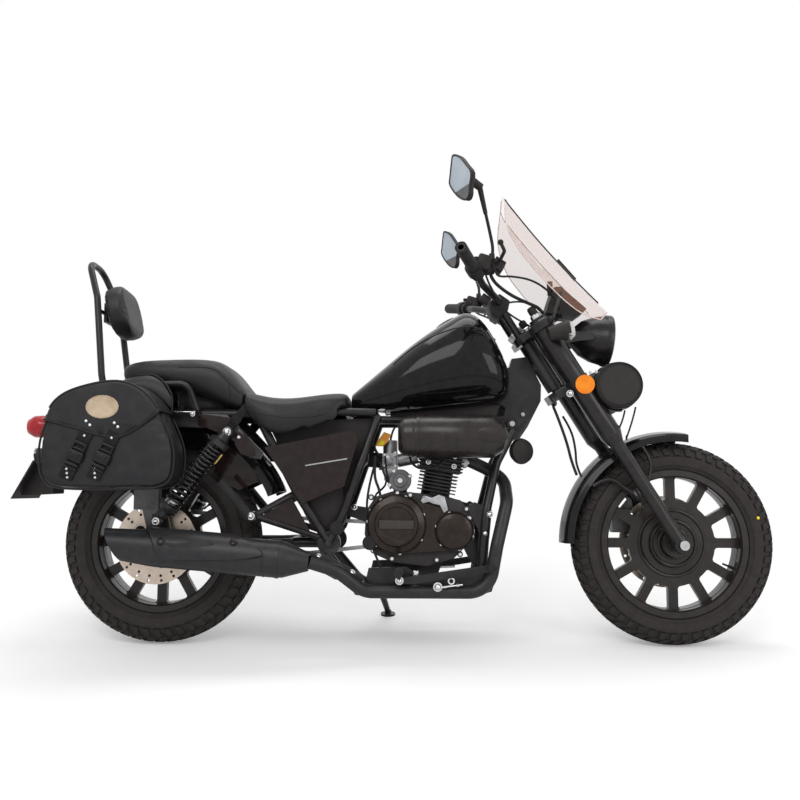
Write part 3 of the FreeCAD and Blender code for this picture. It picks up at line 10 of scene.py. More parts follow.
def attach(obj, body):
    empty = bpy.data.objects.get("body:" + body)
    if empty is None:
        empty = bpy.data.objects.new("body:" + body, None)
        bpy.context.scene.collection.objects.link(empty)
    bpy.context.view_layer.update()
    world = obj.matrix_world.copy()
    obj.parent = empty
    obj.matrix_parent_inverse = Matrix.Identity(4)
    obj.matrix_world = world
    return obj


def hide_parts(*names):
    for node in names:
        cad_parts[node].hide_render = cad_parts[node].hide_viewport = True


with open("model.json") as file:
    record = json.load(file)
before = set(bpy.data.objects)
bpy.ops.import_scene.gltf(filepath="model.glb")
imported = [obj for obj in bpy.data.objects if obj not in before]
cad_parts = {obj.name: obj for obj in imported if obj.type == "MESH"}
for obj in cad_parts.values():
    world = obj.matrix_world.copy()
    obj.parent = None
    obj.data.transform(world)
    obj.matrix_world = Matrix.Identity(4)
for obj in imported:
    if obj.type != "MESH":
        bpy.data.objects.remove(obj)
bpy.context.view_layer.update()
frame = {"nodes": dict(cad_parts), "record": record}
nodes = frame["nodes"]
print("frame loaded:", len(nodes), "nodes")

# The machine leans on its stand. Pieces are drawn upright, with x forward from the rear axle,
# y to the left and z up from the ground, in millimetres, and bikeToRow puts them in place.
bike = {"leanAngle": 9.5, "originForward": 701, "originLeft": 199, "rakeAngle": 31.5,
        "frontAxle": (1540, 0, 302.75), "rearAxle": (0, 0, 300.88)}
mm = 0.001
leanTurn = Matrix.Rotation(math.radians(-bike["leanAngle"]), 4, "X")
originShift = Matrix.Translation((-bike["originForward"], -bike["originLeft"], 0))
bikeToRow = Matrix.Scale(mm, 4) @ originShift @ leanTurn
rowToBike = bikeToRow.inverted()
forkToBike = (Matrix.Translation(bike["frontAxle"]) @
              Matrix.Rotation(math.radians(-bike["rakeAngle"]), 4, "Y"))


def row(point):
    return bikeToRow @ Vector(point)


def inFork(ahead, side, along):
    # a point beside the fork, as upright bike coordinates
    return forkToBike @ Vector((ahead, side, along))


# Materials
def newMaterial(name):
    material = bpy.data.materials.new(name)
    material.use_nodes = True
    tree = material.node_tree
    return material, tree, tree.nodes["Principled BSDF"]


def addNode(tree, kind, operation=None, links=(), **sockets):
    # a shader node; links are pairs of one of its inputs and the output that feeds it
    node = tree.nodes.new("ShaderNode" + kind)
    if operation:
        node.operation = operation
    for name, value in sockets.items():
        node.inputs[name.replace("_", " ")].default_value = value
    for socket, source in links:
        tree.links.new(source, node.inputs[socket])
    return node


def colorBlend(tree, source, *stops):
    # source's value turned to colour, between stops of position and colour
    ramp = addNode(tree, "ValToRGB", links=[("Fac", source)])
    for element, (position, color) in zip(ramp.color_ramp.elements, stops):
        element.position, element.color = position, (*color, 1)
    return ramp.outputs["Color"]


def roughFrom(tree, shader, source, low, high):
    spread = addNode(tree, "MapRange", links=[("Value", source)], To_Min=low, To_Max=high)
    tree.links.new(spread.outputs["Result"], shader.inputs["Roughness"])


wearLook = {"from": 0.53, "to": 0.62, "color": (0.25, 0.25, 0.25, 1)}


def finish(name, color, color2=None, rough=0.5, roughSpread=0.08, metal=0.0, scale=40.0, bump=0.1,
           bumpScale=200.0, bumpDepth=0.0004, coat=0.0, coatRough=0.05, coatIor=1.28, specular=0.25,
           sheen=0.0, wear=0.0, alpha=1.0):
    # a painted, cast, moulded or bare surface: two close colours, uneven gloss and a fine bump
    material, tree, shader = newMaterial(name)
    color2 = color2 or tuple(min(1, c * 1.5 + 0.004) for c in color)
    spot = addNode(tree, "TexCoord").outputs["Object"]
    cloudy = addNode(tree, "TexNoise", links=[("Vector", spot)], Scale=scale, Detail=6.0,
                     Roughness=0.6).outputs["Fac"]
    tint = colorBlend(tree, cloudy, (0.35, color), (0.7, color2))
    if wear:
        edges = addNode(tree, "NewGeometry").outputs["Pointiness"]
        worn = colorBlend(tree, edges, (wearLook["from"], (0, 0, 0)), (wearLook["to"], (1, 1, 1)))
        amount = addNode(tree, "Math", "MULTIPLY", [(0, worn)])
        amount.inputs[1].default_value = wear
        mix = addNode(tree, "Mix")
        mix.data_type = "RGBA"
        mix.inputs["B"].default_value = wearLook["color"]
        tree.links.new(amount.outputs["Value"], mix.inputs["Factor"])
        tree.links.new(tint, mix.inputs["A"])
        tint = mix.outputs["Result"]
    tree.links.new(tint, shader.inputs["Base Color"])
    roughFrom(tree, shader, cloudy, max(0.02, rough - roughSpread), min(1.0, rough + roughSpread))
    if bump:
        grain = addNode(tree, "TexNoise", links=[("Vector", spot)], Scale=bumpScale, Detail=4.0,
                        Roughness=0.6)
        raised = addNode(tree, "Bump", links=[("Height", grain.outputs["Fac"])], Strength=bump,
                         Distance=bumpDepth)
        tree.links.new(raised.outputs["Normal"], shader.inputs["Normal"])
    for socket, value in (("Metallic", metal), ("Specular IOR Level", specular), ("Coat Weight", coat),
                          ("Coat Roughness", coatRough), ("Coat IOR", coatIor), ("Sheen Weight", sheen),
                          ("Alpha", alpha)):
        shader.inputs[socket].default_value = value
    return material


def leather(name, color, color2, rough=0.5, cell=420.0, bump=0.35, depth=0.0006, specular=0.3):
    # pebbled leather: small rounded cells with a softer fold pattern under them
    material, tree, shader = newMaterial(name)
    spot = addNode(tree, "TexCoord").outputs["Object"]
    cells = addNode(tree, "TexVoronoi", links=[("Vector", spot)], Scale=cell).outputs["Distance"]
    folds = addNode(tree, "TexNoise", links=[("Vector", spot)], Scale=26.0, Detail=5.0,
                    Roughness=0.55).outputs["Fac"]
    tree.links.new(colorBlend(tree, folds, (0.3, color), (0.75, color2)), shader.inputs["Base Color"])
    roughFrom(tree, shader, folds, rough - 0.08, rough + 0.12)
    soft = addNode(tree, "Bump", links=[("Height", folds)], Strength=0.3, Distance=0.004)
    fine = addNode(tree, "Bump", links=[("Height", cells), ("Normal", soft.outputs["Normal"])], Strength=bump,
                   Distance=depth)
    tree.links.new(fine.outputs["Normal"], shader.inputs["Normal"])
    shader.inputs["Specular IOR Level"].default_value = specular
    return material


looks = {
    "blackSteel": dict(color=(0.010, 0.0085, 0.0085), rough=0.34, coat=0.2, wear=0.12),
    "glossPaint": dict(color=(0.004, 0.0033, 0.0033), rough=0.12, roughSpread=0.03, coat=0.6, specular=0.1,
        coatRough=0.02, bump=0.02),
    "fenderPaint": dict(color=(0.006, 0.006, 0.007), rough=0.2, coat=0.5, coatRough=0.04, specular=0.12,
        bump=0.02),
    "forkBlack": dict(color=(0.010, 0.0085, 0.008), rough=0.3, coat=0.5, bump=0.04),
    "wheelBlack": dict(color=(0.016, 0.0125, 0.0115), rough=0.3, coat=0.3, bump=0.08),
    "engineBlack": dict(color=(0.015, 0.0125, 0.012), rough=0.5, bump=0.3, bumpScale=500, wear=0.35),
    "engineBronze": dict(color=(0.021, 0.0145, 0.0115), rough=0.24, bump=0.12, bumpScale=700, metal=0.3,
        wear=0.25),
    "castAlloy": dict(color=(0.3, 0.3, 0.31), color2=(0.42, 0.42, 0.43), rough=0.45, metal=0.9, bump=0.3,
        bumpScale=600),
    "darkAlloy": dict(color=(0.09, 0.09, 0.095), color2=(0.14, 0.14, 0.145), rough=0.5, metal=0.7, bump=0.3,
        bumpScale=600, wear=0.3),
    "chrome": dict(color=(0.62, 0.62, 0.63), color2=(0.72, 0.72, 0.72), rough=0.12, roughSpread=0.04,
        metal=1.0, bump=0.02),
    "bareSteel": dict(color=(0.36, 0.36, 0.37), color2=(0.5, 0.5, 0.5), rough=0.34, metal=1.0, bump=0.1),
    "discSteel": dict(color=(0.48, 0.40, 0.33), color2=(0.62, 0.53, 0.45), rough=0.35, metal=1.0, bump=0.1),
    "exhaustBlack": dict(color=(0.02, 0.02, 0.022), color2=(0.03, 0.03, 0.032), rough=0.36, bump=0.2,
        bumpScale=900),
    "blackPlastic": dict(color=(0.014, 0.0115, 0.011), rough=0.55, bump=0.2, bumpScale=1200),
    "glossPlastic": dict(color=(0.013, 0.008, 0.0068), rough=0.12, coat=0.4, specular=0.15, coatRough=0.04,
        bump=0.03),
    "redLens": dict(color=(0.35, 0.008, 0.015), color2=(0.5, 0.015, 0.025), rough=0.12, coat=0.6, bump=0.05),
    "amberLens": dict(color=(0.84, 0.2, 0.002), color2=(0.95, 0.3, 0.006), rough=0.2, coat=0.6, bump=0.3,
        bumpScale=700),
    "clearLens": dict(color=(0.5, 0.5, 0.49), color2=(0.66, 0.66, 0.65), rough=0.15, coat=0.6, bump=0.2,
        bumpScale=500),
    # mirrorGlass: its blue-grey colour is a painted reflection of the sky
    "mirrorGlass": dict(color=(0.36, 0.42, 0.48), color2=(0.46, 0.52, 0.58), rough=0.06, roughSpread=0.02,
        scale=8, bump=0.01),
    "canisterBlack": dict(color=(0.014, 0.0105, 0.0095), rough=0.28, specular=0.32, bump=0.1, bumpScale=1200),
    # near black, for a painted shadow: the line where the muffler's heat shield shades the muffler
    "grooveBlack": dict(color=(0.003, 0.003, 0.003), rough=0.8, specular=0.05, bump=0.05),
    "rubber": dict(color=(0.01, 0.01, 0.01), rough=0.7, bump=0.3, bumpScale=900, sheen=0.05),
    "tyreRubber": dict(color=(0.022, 0.0185, 0.0175), color2=(0.034, 0.029, 0.0275), rough=0.72, bump=0.35,
        bumpScale=700, specular=0.25),
    "leatherTrim": dict(color=(0.008, 0.008, 0.009), color2=(0.014, 0.014, 0.015), rough=0.5, bump=0.25,
        bumpScale=900),
    "threadTan": dict(color=(0.4, 0.3, 0.2), rough=0.8, bump=0.3, bumpScale=2500, specular=0.2),
    "webbing": dict(color=(0.007, 0.007, 0.008), color2=(0.014, 0.014, 0.015), rough=0.75, bump=0.6,
        bumpScale=1600, specular=0.2),
    "buckleBlack": dict(color=(0.006, 0.006, 0.007), rough=0.3, bump=0.1, bumpScale=900),
    "springBlack": dict(color=(0.007, 0.007, 0.008), rough=0.18, coat=0.8, bump=0.03),
    "goldPaint": dict(color=(0.75, 0.52, 0.16), rough=0.4, metal=0.3, bump=0.05),
    "tagOrange": dict(color=(0.8, 0.3, 0.04), color2=(0.85, 0.42, 0.08), rough=0.5, bump=0.05),
    "yellowMark": dict(color=(0.85, 0.6, 0.03), rough=0.6, bump=0.05),
    "silverPaint": dict(color=(0.33, 0.33, 0.34), color2=(0.42, 0.42, 0.43), rough=0.3, metal=0.6, bump=0.03),
    "shieldEdge": dict(color=(0.62, 0.5, 0.47), rough=0.25, bump=0.02),
    # near black, painted shade laid along the windshield's creases
    "shieldCrease": dict(color=(0.03, 0.03, 0.035), rough=0.3, bump=0.02),
    "clearSheet": dict(color=(0.45, 0.2, 0.12), color2=(0.47, 0.22, 0.14), rough=0.06, roughSpread=0.02,
        bump=0.01, alpha=0.04),
    "tintedSheet": dict(color=(0.45, 0.2, 0.12), color2=(0.47, 0.22, 0.14), rough=0.06, roughSpread=0.02,
        bump=0.01, alpha=0.165)}
leathers = {
    "seatLeather": dict(color=(0.008, 0.008, 0.009), color2=(0.015, 0.0145, 0.015), rough=0.42),
    "bagLeather": dict(color=(0.008, 0.008, 0.0095), color2=(0.018, 0.018, 0.02), rough=0.42, cell=300.0),
    "toolLeather": dict(color=(0.017, 0.015, 0.014), color2=(0.028, 0.025, 0.023), rough=0.6, cell=500.0),
    "patchLeather": dict(color=(0.42, 0.31, 0.2), color2=(0.64, 0.52, 0.38), rough=0.55, cell=700.0,
        bump=0.2)}
materials = {name: finish(name, **look) for name, look in looks.items()}
materials.update({name: leather(name, **look) for name, look in leathers.items()})

# the finish of each material slot that isn't named alike
slotFinish = {"shock_steel": "blackSteel", "clear_plastic": "clearSheet", "grip_rubber": "rubber",
              "tyre": "tyreRubber"}
slotOf = {entry["node"]: entry["material_slot"] for entry in frame["record"]["subparts"]}


def finishOf(node):
    slot = slotOf[node]
    first, *rest = slot.split("_")
    return slotFinish.get(slot, first + "".join(word.title() for word in rest))


for name, node in nodes.items():
    node.data.materials.clear()
    node.data.materials.append(materials[finishOf(name)])
print("materials ready:", len(materials))


def linked(name, data):
    # a new object in the scene
    thing = bpy.data.objects.new(name, data)
    bpy.context.scene.collection.objects.link(thing)
    return thing


# Studio
studio = {"floorHalf": 6.0, "whiteFrom": 1.3, "whiteTo": 2.6, "lift": 0.22, "worldDim": 0.55,
          "cameraPlace": (0.0629, -2.6687, 0.8830), "cameraYaw": 0.994, "cameraPitch": 3.454, "lens": 37.68}
white = (1, 1, 1, 1)
bm = bmesh.new()
bmesh.ops.create_grid(bm, x_segments=1, y_segments=1, size=studio["floorHalf"])
floorMesh = bpy.data.meshes.new("floor")
bm.to_mesh(floorMesh)
bm.free()
linked("floor", floorMesh)

floorMaterial, tree, shader = newMaterial("floorWhite")
shader.inputs["Roughness"].default_value = 0.9
place = addNode(tree, "TexCoord").outputs["Object"]
speckle = addNode(tree, "TexNoise", links=[("Vector", place)], Scale=3.0, Detail=3.0)
tone = colorBlend(tree, speckle.outputs["Fac"], (0, (0.88, 0.88, 0.88)), (1, (0.9, 0.9, 0.9)))
tree.links.new(tone, shader.inputs["Base Color"])
# to the camera the floor is lifted to white, a little near the wheels and wholly further off
seen = addNode(tree, "LightPath").outputs["Is Camera Ray"]
middle = addNode(tree, "VectorMath", "LENGTH", [(0, place)])
far = addNode(tree, "MapRange", links=[("Value", middle.outputs["Value"])], From_Min=studio["whiteFrom"],
              From_Max=studio["whiteTo"], To_Min=0.0, To_Max=1.0)
far.interpolation_type = "SMOOTHSTEP"
faded = addNode(tree, "Math", "MULTIPLY", [(0, far.outputs["Result"]), (1, seen)])
lifted = addNode(tree, "Math", "MULTIPLY", [(0, seen)])
lifted.inputs[1].default_value = studio["lift"]
paper = addNode(tree, "Emission", Color=white, Strength=1.0)
lift = addNode(tree, "Emission", links=[("Strength", lifted.outputs["Value"])], Color=white)
both = addNode(tree, "AddShader", links=[(0, shader.outputs["BSDF"]), (1, lift.outputs["Emission"])])
blend = addNode(tree, "MixShader", links=[("Fac", faded.outputs["Value"]), (1, both.outputs["Shader"]),
                                          (2, paper.outputs["Emission"])])
tree.links.new(blend.outputs["Shader"], tree.nodes["Material Output"].inputs["Surface"])
floorMesh.materials.append(floorMaterial)

world = bpy.data.worlds.new("studioWorld")
bpy.context.scene.world = world
world.use_nodes = True
tree = world.node_tree
tree.nodes.clear()
rays = addNode(tree, "LightPath").outputs
seen = addNode(tree, "Math", "MAXIMUM", [(0, rays["Is Camera Ray"]), (1, rays["Is Transmission Ray"])])
mirrored = addNode(tree, "Math", "MAXIMUM", [(0, seen.outputs["Value"]), (1, rays["Is Glossy Ray"])])
dim, bright = (addNode(tree, "Background", Color=white, Strength=strength).outputs["Background"]
               for strength in (studio["worldDim"], 1.0))
mix = addNode(tree, "MixShader", links=[("Fac", mirrored.outputs["Value"]), (1, dim), (2, bright)])
addNode(tree, "OutputWorld", links=[("Surface", mix.outputs["Shader"])])


def addLamp(name, place, target, size, power):
    light = bpy.data.lights.new(name, "AREA")
    light.shape = "RECTANGLE"
    light.size, light.size_y = size
    light.energy = power
    lamp = linked(name, light)
    lamp.location = place
    lamp.rotation_euler = (Vector(target) - Vector(place)).to_track_quat("-Z", "Y").to_euler()


addLamp("keyLamp", (-1.2, -3.0, 3.4), (0, 0, 0.5), (2.6, 1.6), 55)
addLamp("sideLamp", (2.6, -2.6, 1.8), (0.2, 0, 0.6), (1.6, 1.6), 25)
addLamp("topLamp", (0, 0.6, 3.6), (0, 0, 0.6), (3.0, 1.4), 45)

camera = linked("camera", bpy.data.cameras.new("camera"))
camera.location = studio["cameraPlace"]
camera.rotation_euler = (math.radians(90 - studio["cameraPitch"]), 0, math.radians(studio["cameraYaw"]))
camera.data.lens = studio["lens"]
camera.data.sensor_width = 36
bpy.context.scene.camera = camera
bpy.context.scene.view_settings.view_transform = "Standard"
print("studio ready")

# Shapes. Each returns a bmesh in millimetres, ready to be gathered into a piece.
def moved(x, y, z):
    return Matrix.Translation((x, y, z))


def movedTo(place, way=(0, 0, 1)):
    # a frame at place whose Z axis points along way
    turn = Vector(way).to_track_quat("Z", "Y").to_matrix().to_4x4()
    return Matrix.Translation(place) @ turn


def gather(whole, part, place=Matrix(), paint=0):
    for face in part.faces:
        face.material_index = paint
    part.transform(place)
    scratch = bpy.data.meshes.new("scratch")
    part.to_mesh(scratch)
    part.free()
    whole.from_mesh(scratch)
    bpy.data.meshes.remove(scratch)


def turned(profile, steps=48):
    # pairs of height and radius, spun about Z
    bm = bmesh.new()
    corners = [bm.verts.new((radius, 0, height)) for height, radius in profile]
    edges = [bm.edges.new(pair) for pair in zip(corners, corners[1:])]
    bmesh.ops.spin(bm, geom=corners + edges, cent=(0, 0, 0), axis=(0, 0, 1), angle=2 * math.pi,
                   steps=steps, use_merge=True)
    bmesh.ops.remove_doubles(bm, verts=bm.verts, dist=0.01)
    bmesh.ops.recalc_face_normals(bm, faces=bm.faces)
    return bm


def bevelled(bm, edges, width, segments=2):
    bmesh.ops.bevel(bm, geom=edges, offset=width, affect="EDGES", segments=segments, profile=0.5, material=-1)


def roundedBox(size, edge=1.5, segments=2):
    bm = bmesh.new()
    bmesh.ops.create_cube(bm, size=1, matrix=Matrix.Diagonal((*size, 1)))
    if edge:
        bevelled(bm, bm.edges[:], edge, segments)
    return bm


def rod(start, end, radius, endRadius=None, sides=20):
    start, end = Vector(start), Vector(end)
    bm = bmesh.new()
    bmesh.ops.create_cone(bm, cap_ends=True, segments=sides, radius1=radius,
                          radius2=radius if endRadius is None else endRadius, depth=(end - start).length,
                          matrix=movedTo((start + end) / 2, end - start))
    return bm


def sheetCut(outline, thickness, edge=0.0, segments=2):
    # an outline in the X-Z plane, thickened evenly to both sides along Y
    bm = bmesh.new()
    corners = [bm.verts.new((x, -thickness / 2, z)) for x, z in outline]
    face = bm.faces.new(corners)
    grown = bmesh.ops.extrude_face_region(bm, geom=[face])["geom"]
    moving = [item for item in grown if isinstance(item, bmesh.types.BMVert)]
    bmesh.ops.translate(bm, vec=(0, thickness, 0), verts=moving)
    bmesh.ops.recalc_face_normals(bm, faces=bm.faces)
    if edge:
        rims = [e for e in bm.edges if len(e.link_faces) == 2 and e.calc_face_angle() > 0.9]
        bevelled(bm, rims, edge, segments)
    return bm


def curveMesh(points, radius, order=4, sides=6, cyclic=False, steps=10):
    # a round rod along a smooth curve
    curve = bpy.data.curves.new("scratchCurve", "CURVE")
    curve.dimensions = "3D"
    curve.bevel_depth = radius
    curve.bevel_resolution = sides // 2
    curve.use_fill_caps = True
    spline = curve.splines.new("NURBS")
    spline.points.add(len(points) - 1)
    for point, (x, y, z) in zip(spline.points, points):
        point.co = (x, y, z, 1)
    spline.order_u = min(order, len(points))
    spline.use_endpoint_u = not cyclic
    spline.use_cyclic_u = cyclic
    spline.resolution_u = steps
    holder = linked("scratchCurve", curve)
    mesh = bpy.data.meshes.new_from_object(holder.evaluated_get(bpy.context.evaluated_depsgraph_get()))
    bpy.data.objects.remove(holder)
    bm = bmesh.new()
    bm.from_mesh(mesh)
    bmesh.ops.remove_doubles(bm, verts=bm.verts, dist=0.001)
    bmesh.ops.recalc_face_normals(bm, faces=bm.faces)
    bpy.data.meshes.remove(mesh)
    bpy.data.curves.remove(curve)
    return bm


def hexBolt(size, height=None, domed=False, washer=True):
    # head across corners = size; it stands on its washer at z = 0
    bm = bmesh.new()
    height = height or size * 0.4
    if washer:
        gather(bm, turned([(0, 0), (0, size * 0.62), (height * 0.25, size * 0.62), (height * 0.3, 0)], 20))
    head = bmesh.new()
    bmesh.ops.create_cone(head, cap_ends=True, segments=6, radius1=size / 2, radius2=size / 2, depth=height,
                          matrix=moved(0, 0, height * 0.75))
    bevelled(head, head.edges[:], size * 0.04, 1)
    gather(bm, head)
    if domed:
        dome = [(1.1, 0.42), (1.5, 0.36), (1.8, 0.2), (1.9, 0), (1.0, 0), (1.1, 0.42)]
        gather(bm, turned([(height * up, size * out) for up, out in dome], 16))
    return bm


def socketBolt(size, height=None):
    height = height or size * 0.5
    return turned([(0, 0), (0, size / 2), (height * 0.8, size / 2), (height, size * 0.42),
                   (height, size * 0.24), (height * 0.5, size * 0.22), (height * 0.5, 0)], 18)


def modify(piece, name, kind, **settings):
    modifier = piece.modifiers.new(name, kind)
    for setting, value in settings.items():
        setattr(modifier, setting, value)


def rounded(piece, levels=1):
    modify(piece, "rounded", "SUBSURF", levels=levels, render_levels=levels)


def thickened(piece, name, thickness, offset):
    modify(piece, name, "SOLIDIFY", thickness=thickness * mm, offset=offset)


def addPiece(name, bm, finishes, body="chassis", place=bikeToRow, stands=(), sharp=35, bevel=0.0,
             normals=True):
    # a piece of the scene from a shape; sharp is the angle in degrees from which an edge shows
    if normals:
        bmesh.ops.remove_doubles(bm, verts=bm.verts, dist=0.001)
        bmesh.ops.recalc_face_normals(bm, faces=bm.faces)
    bm.transform(place)
    mesh = bpy.data.meshes.new(name)
    bm.to_mesh(mesh)
    bm.free()
    for finishName in ([finishes] if isinstance(finishes, str) else finishes):
        mesh.materials.append(materials[finishName])
    mesh.shade_smooth()
    mesh.set_sharp_from_angle(angle=math.radians(sharp))
    piece = linked(name, mesh)
    if bevel:
        modify(piece, "softEdges", "BEVEL", width=bevel * mm, segments=2, limit_method="ANGLE",
               angle_limit=math.radians(sharp))
    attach(piece, body)
    if stands:
        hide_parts(*stands)
    return piece


# width of a piece's rounded edges, where it isn't the usual one
usualEdge = 0.8
edgeWidth = {"fuel_tank": 0, "rear_fender": 0, "front_fender": 0, "engine_covers": 2.0, "cylinder": 1.2,
             "cylinder_head": 1.2, "engine_crankcase": 3.0, "air_canister": 0, "carburettor": 2.0}


def slashTip(bm):
    # the muffler's mouth, slanted from its top edge down to its lower edge
    for vert in bm.verts:
        spot = rowToBike @ vert.co
        if spot.x < -45 and spot.y < -140:
            lean = Vector((-0.62 * (spot.z - 303) + 6, 0, 0))
            vert.co = bikeToRow @ (spot + lean)


def dressNode(node, body, finishes=None, bevel=1.0, paint=None):
    # a cleaned copy of a rigid CAD piece: flat faces joined, sharp edges rounded, curves shaded smooth.
    # paint gives a face's finish from its middle, upright and in millimetres.
    bm = bmesh.new()
    bm.from_mesh(nodes[node].data)
    bmesh.ops.remove_doubles(bm, verts=bm.verts, dist=0.02 * mm)
    bmesh.ops.dissolve_degenerate(bm, edges=bm.edges[:], dist=0.01 * mm)
    if edgeWidth.get(node, usualEdge):
        bmesh.ops.dissolve_limit(bm, angle_limit=math.radians(0.6), verts=bm.verts[:], edges=bm.edges[:],
                                 use_dissolve_boundaries=False)
    if node == "exhaust":
        slashTip(bm)
    if paint:
        for face in bm.faces:
            face.material_index = paint(rowToBike @ face.calc_center_median())
    return addPiece(node + "Dressed", bm, finishes or finishOf(node), body, Matrix(), (node,), sharp=32,
                    bevel=bevel, normals=False)


# Wheels
tyres = {"front": {"radius": 302, "half": 54, "rim": 218, "rimHalf": 44, "pitches": 52, "body": "front_wheel",
                   "axle": bike["frontAxle"]},
         "rear": {"radius": 300, "half": 63, "rim": 205, "rimHalf": 52, "pitches": 50, "body": "rear_wheel",
                  "axle": bike["rearAxle"]},
         "grooveDepth": 5.0, "wall": 8, "beadDepth": 12.7, "flange": 6.3,
         # start and end across the tread in degrees from the crown, length and shift in pitches, lean
         "blocks": [(3, 21, 0.72, 0.0, 0.32), (25, 45, 0.66, 0.42, 0.2), (49, 73, 0.56, 0.1, -0.12)]}


def tyreWithTread(name):
    size = tyres[name]
    radius, half, depth = size["radius"], size["half"], tyres["grooveDepth"]
    centre = radius - half
    foot = size["rimHalf"] - tyres["flange"]
    bead = size["rim"] - tyres["beadDepth"]
    bm = bmesh.new()
    side = [(foot, bead), (foot + 0.5, size["rim"] + 3), (foot + 5, size["rim"] + 5),
            (foot + 6, size["rim"] + 8), (half - 1.6, centre - 14), (half, centre), (half, centre + 6)]
    crownSteps = 18
    crown = []
    for step in range(crownSteps + 1):
        angle = math.radians(76 - 152 * step / crownSteps)
        crown.append(((half - depth) * math.sin(angle), centre + (half - depth) * math.cos(angle)))
    shoulder = [(half * math.sin(math.radians(79)), centre + half * math.cos(math.radians(79)))]
    outer = side + shoulder + crown + [(-a, r) for a, r in reversed(side + shoulder)]
    inner = [(-foot + tyres["wall"], bead), (-half + 10, centre), (-half * 0.7, centre + half * 0.6),
             (0, radius - 14), (half * 0.7, centre + half * 0.6), (half - 10, centre),
             (foot - tyres["wall"], bead)]
    gather(bm, turned(outer + inner + outer[:1], 120))
    # tread blocks: one pitch, then its copies round the wheel
    pitch = 2 * math.pi / size["pitches"]
    for sideSign in (-1, 1):
        for start, end, length, shift, lean in tyres["blocks"]:
            block = bmesh.new()
            bmesh.ops.create_cube(block, size=1)
            across = [e for e in block.edges if abs(e.verts[0].co.x - e.verts[1].co.x) > 0.5]
            bmesh.ops.subdivide_edges(block, edges=across, cuts=2, use_grid_fill=True)
            for vert in block.verts:
                u, v, w = vert.co.x + 0.5, vert.co.y, vert.co.z + 0.5
                across = math.radians(start + (end - start) * u) * sideSign
                taper = 1 - 0.1 * w
                turn = pitch * (v * length * taper + shift + lean * (u - 0.5) + 0.5 * (sideSign > 0))
                out = half - depth - 1.5 + w * (depth + 1.5)
                r = centre + out * math.cos(across)
                vert.co = (r * math.cos(turn), r * math.sin(turn), out * math.sin(across))
            bmesh.ops.spin(block, geom=block.verts[:] + block.edges[:] + block.faces[:], cent=(0, 0, 0),
                           axis=(0, 0, 1), angle=2 * math.pi - pitch, steps=size["pitches"] - 1,
                           use_duplicate=True)
            bmesh.ops.recalc_face_normals(block, faces=block.faces)
            gather(bm, block)
    place = bikeToRow @ Matrix.Translation(size["axle"]) @ Matrix.Rotation(math.pi / 2, 4, "X")
    return addPiece(name + "TyreTread", bm, "tyreRubber", size["body"], place, (name + "_tyre",), sharp=30)


for name in ("front", "rear"):
    tyreWithTread(name)
for node, body in (("front_rim", "front_wheel"), ("rear_rim", "rear_wheel"), ("front_disc", "front_wheel"),
                   ("rear_disc", "rear_wheel"), ("rear_sprocket", "rear_wheel")):
    dressNode(node, body, bevel=1.5 if "rim" in node else 0.5)
print("wheels ready")

# Rigid pieces that keep their CAD shape, with rounded edges and smooth curves
rigid = {"chassis": ["frame", "subframe", "swingarm", "rear_axle", "engine_crankcase", "engine_covers",
                     "cylinder", "cylinder_head", "carburettor", "air_canister", "exhaust", "fuel_tank",
                     "sissy_bar", "side_covers", "rear_fender", "rear_lamps", "plate_bracket",
                     "foot_controls", "rear_caliper", "horn"],
         "steering": ["yokes", "fork_legs", "front_axle", "handlebar", "hand_controls",
                      "headlight", "front_brackets", "instrument_pod", "front_fender", "front_signals",
                      "front_caliper"],
         "side_stand": ["side_stand"]}


def regions(*boxes):
    # the first box that holds a face gives its finish, counted from 1; the rest keep finish 0
    def choose(spot):
        for number, (x0, x1, y0, y1, z0, z1) in enumerate(boxes, start=1):
            if x0 < spot.x < x1 and y0 < abs(spot.y) < y1 and z0 < spot.z < z1:
                return number
        return 0
    return choose


def headlightGlass(spot):
    # the flat front face, which nods down six degrees
    return int((spot - Vector((1372, 0, 920))).dot(Vector((0.9945, 0, -0.1045))) > -4 and abs(spot.y) < 74)


painted = {
    "headlight": ((finishOf("headlight"), "clearLens"), headlightGlass),
    "engine_crankcase": (("engineBlack", "darkAlloy"), regions((688, 756, -1, 112, 456, 522))),
    "carburettor": (("castAlloy", "rubber"), regions((600, 664, -1, 40, 500, 590))),
    "front_signals": (("blackPlastic", "clearLens", "amberLens"),
                      regions((1213, 1300, 120, 230, 850, 1000), (1150, 1350, 138, 160, 700, 830))),
    "rear_lamps": (("blackPlastic", "redLens", "clearLens"),
                   regions((-450, -370, -1, 40, 600, 700), (-400, -343, 100, 170, 500, 600))),
    "foot_controls": (("blackSteel", "rubber", "rubber", "rubber"),
                      regions((700, 740, 165, 300, 200, 260), (190, 300, 150, 200, 395, 520),
                              (960, 1010, 186, 260, 225, 260))),
    "side_covers": (("blackPlastic", "glossPlastic"), regions((300, 620, 130, 160, 400, 650))),
    "hand_controls": (("blackPlastic", "rubber", "rubber"),
                      regions((600, 1300, 278, 420, 1040, 1300), (600, 1300, 278, 420, 900, 1040))),
    "rear_caliper": (("darkAlloy",), None), "front_caliper": (("darkAlloy",), None),
    "air_canister": (("canisterBlack",), None),
    "front_fender": (("fenderPaint",), None), "rear_fender": (("fenderPaint",), None)}
for body, names in rigid.items():
    for node in names:
        finishes, paint = painted.get(node, (None, None))
        dressNode(node, body, finishes, bevel=edgeWidth.get(node, usualEdge), paint=paint)
print("rigid pieces dressed")


# Soft goods: the CAD solid is remeshed, blown up a little as cloth, and smoothed
cloth = {"pressure": 4, "quality": 4, "frames": 20, "cap": 2.5}


def baked(piece):
    # the piece's modifiers, applied to its mesh
    mesh = bpy.data.meshes.new_from_object(piece.evaluated_get(bpy.context.evaluated_depsgraph_get()))
    piece.modifiers.clear()
    piece.data = mesh


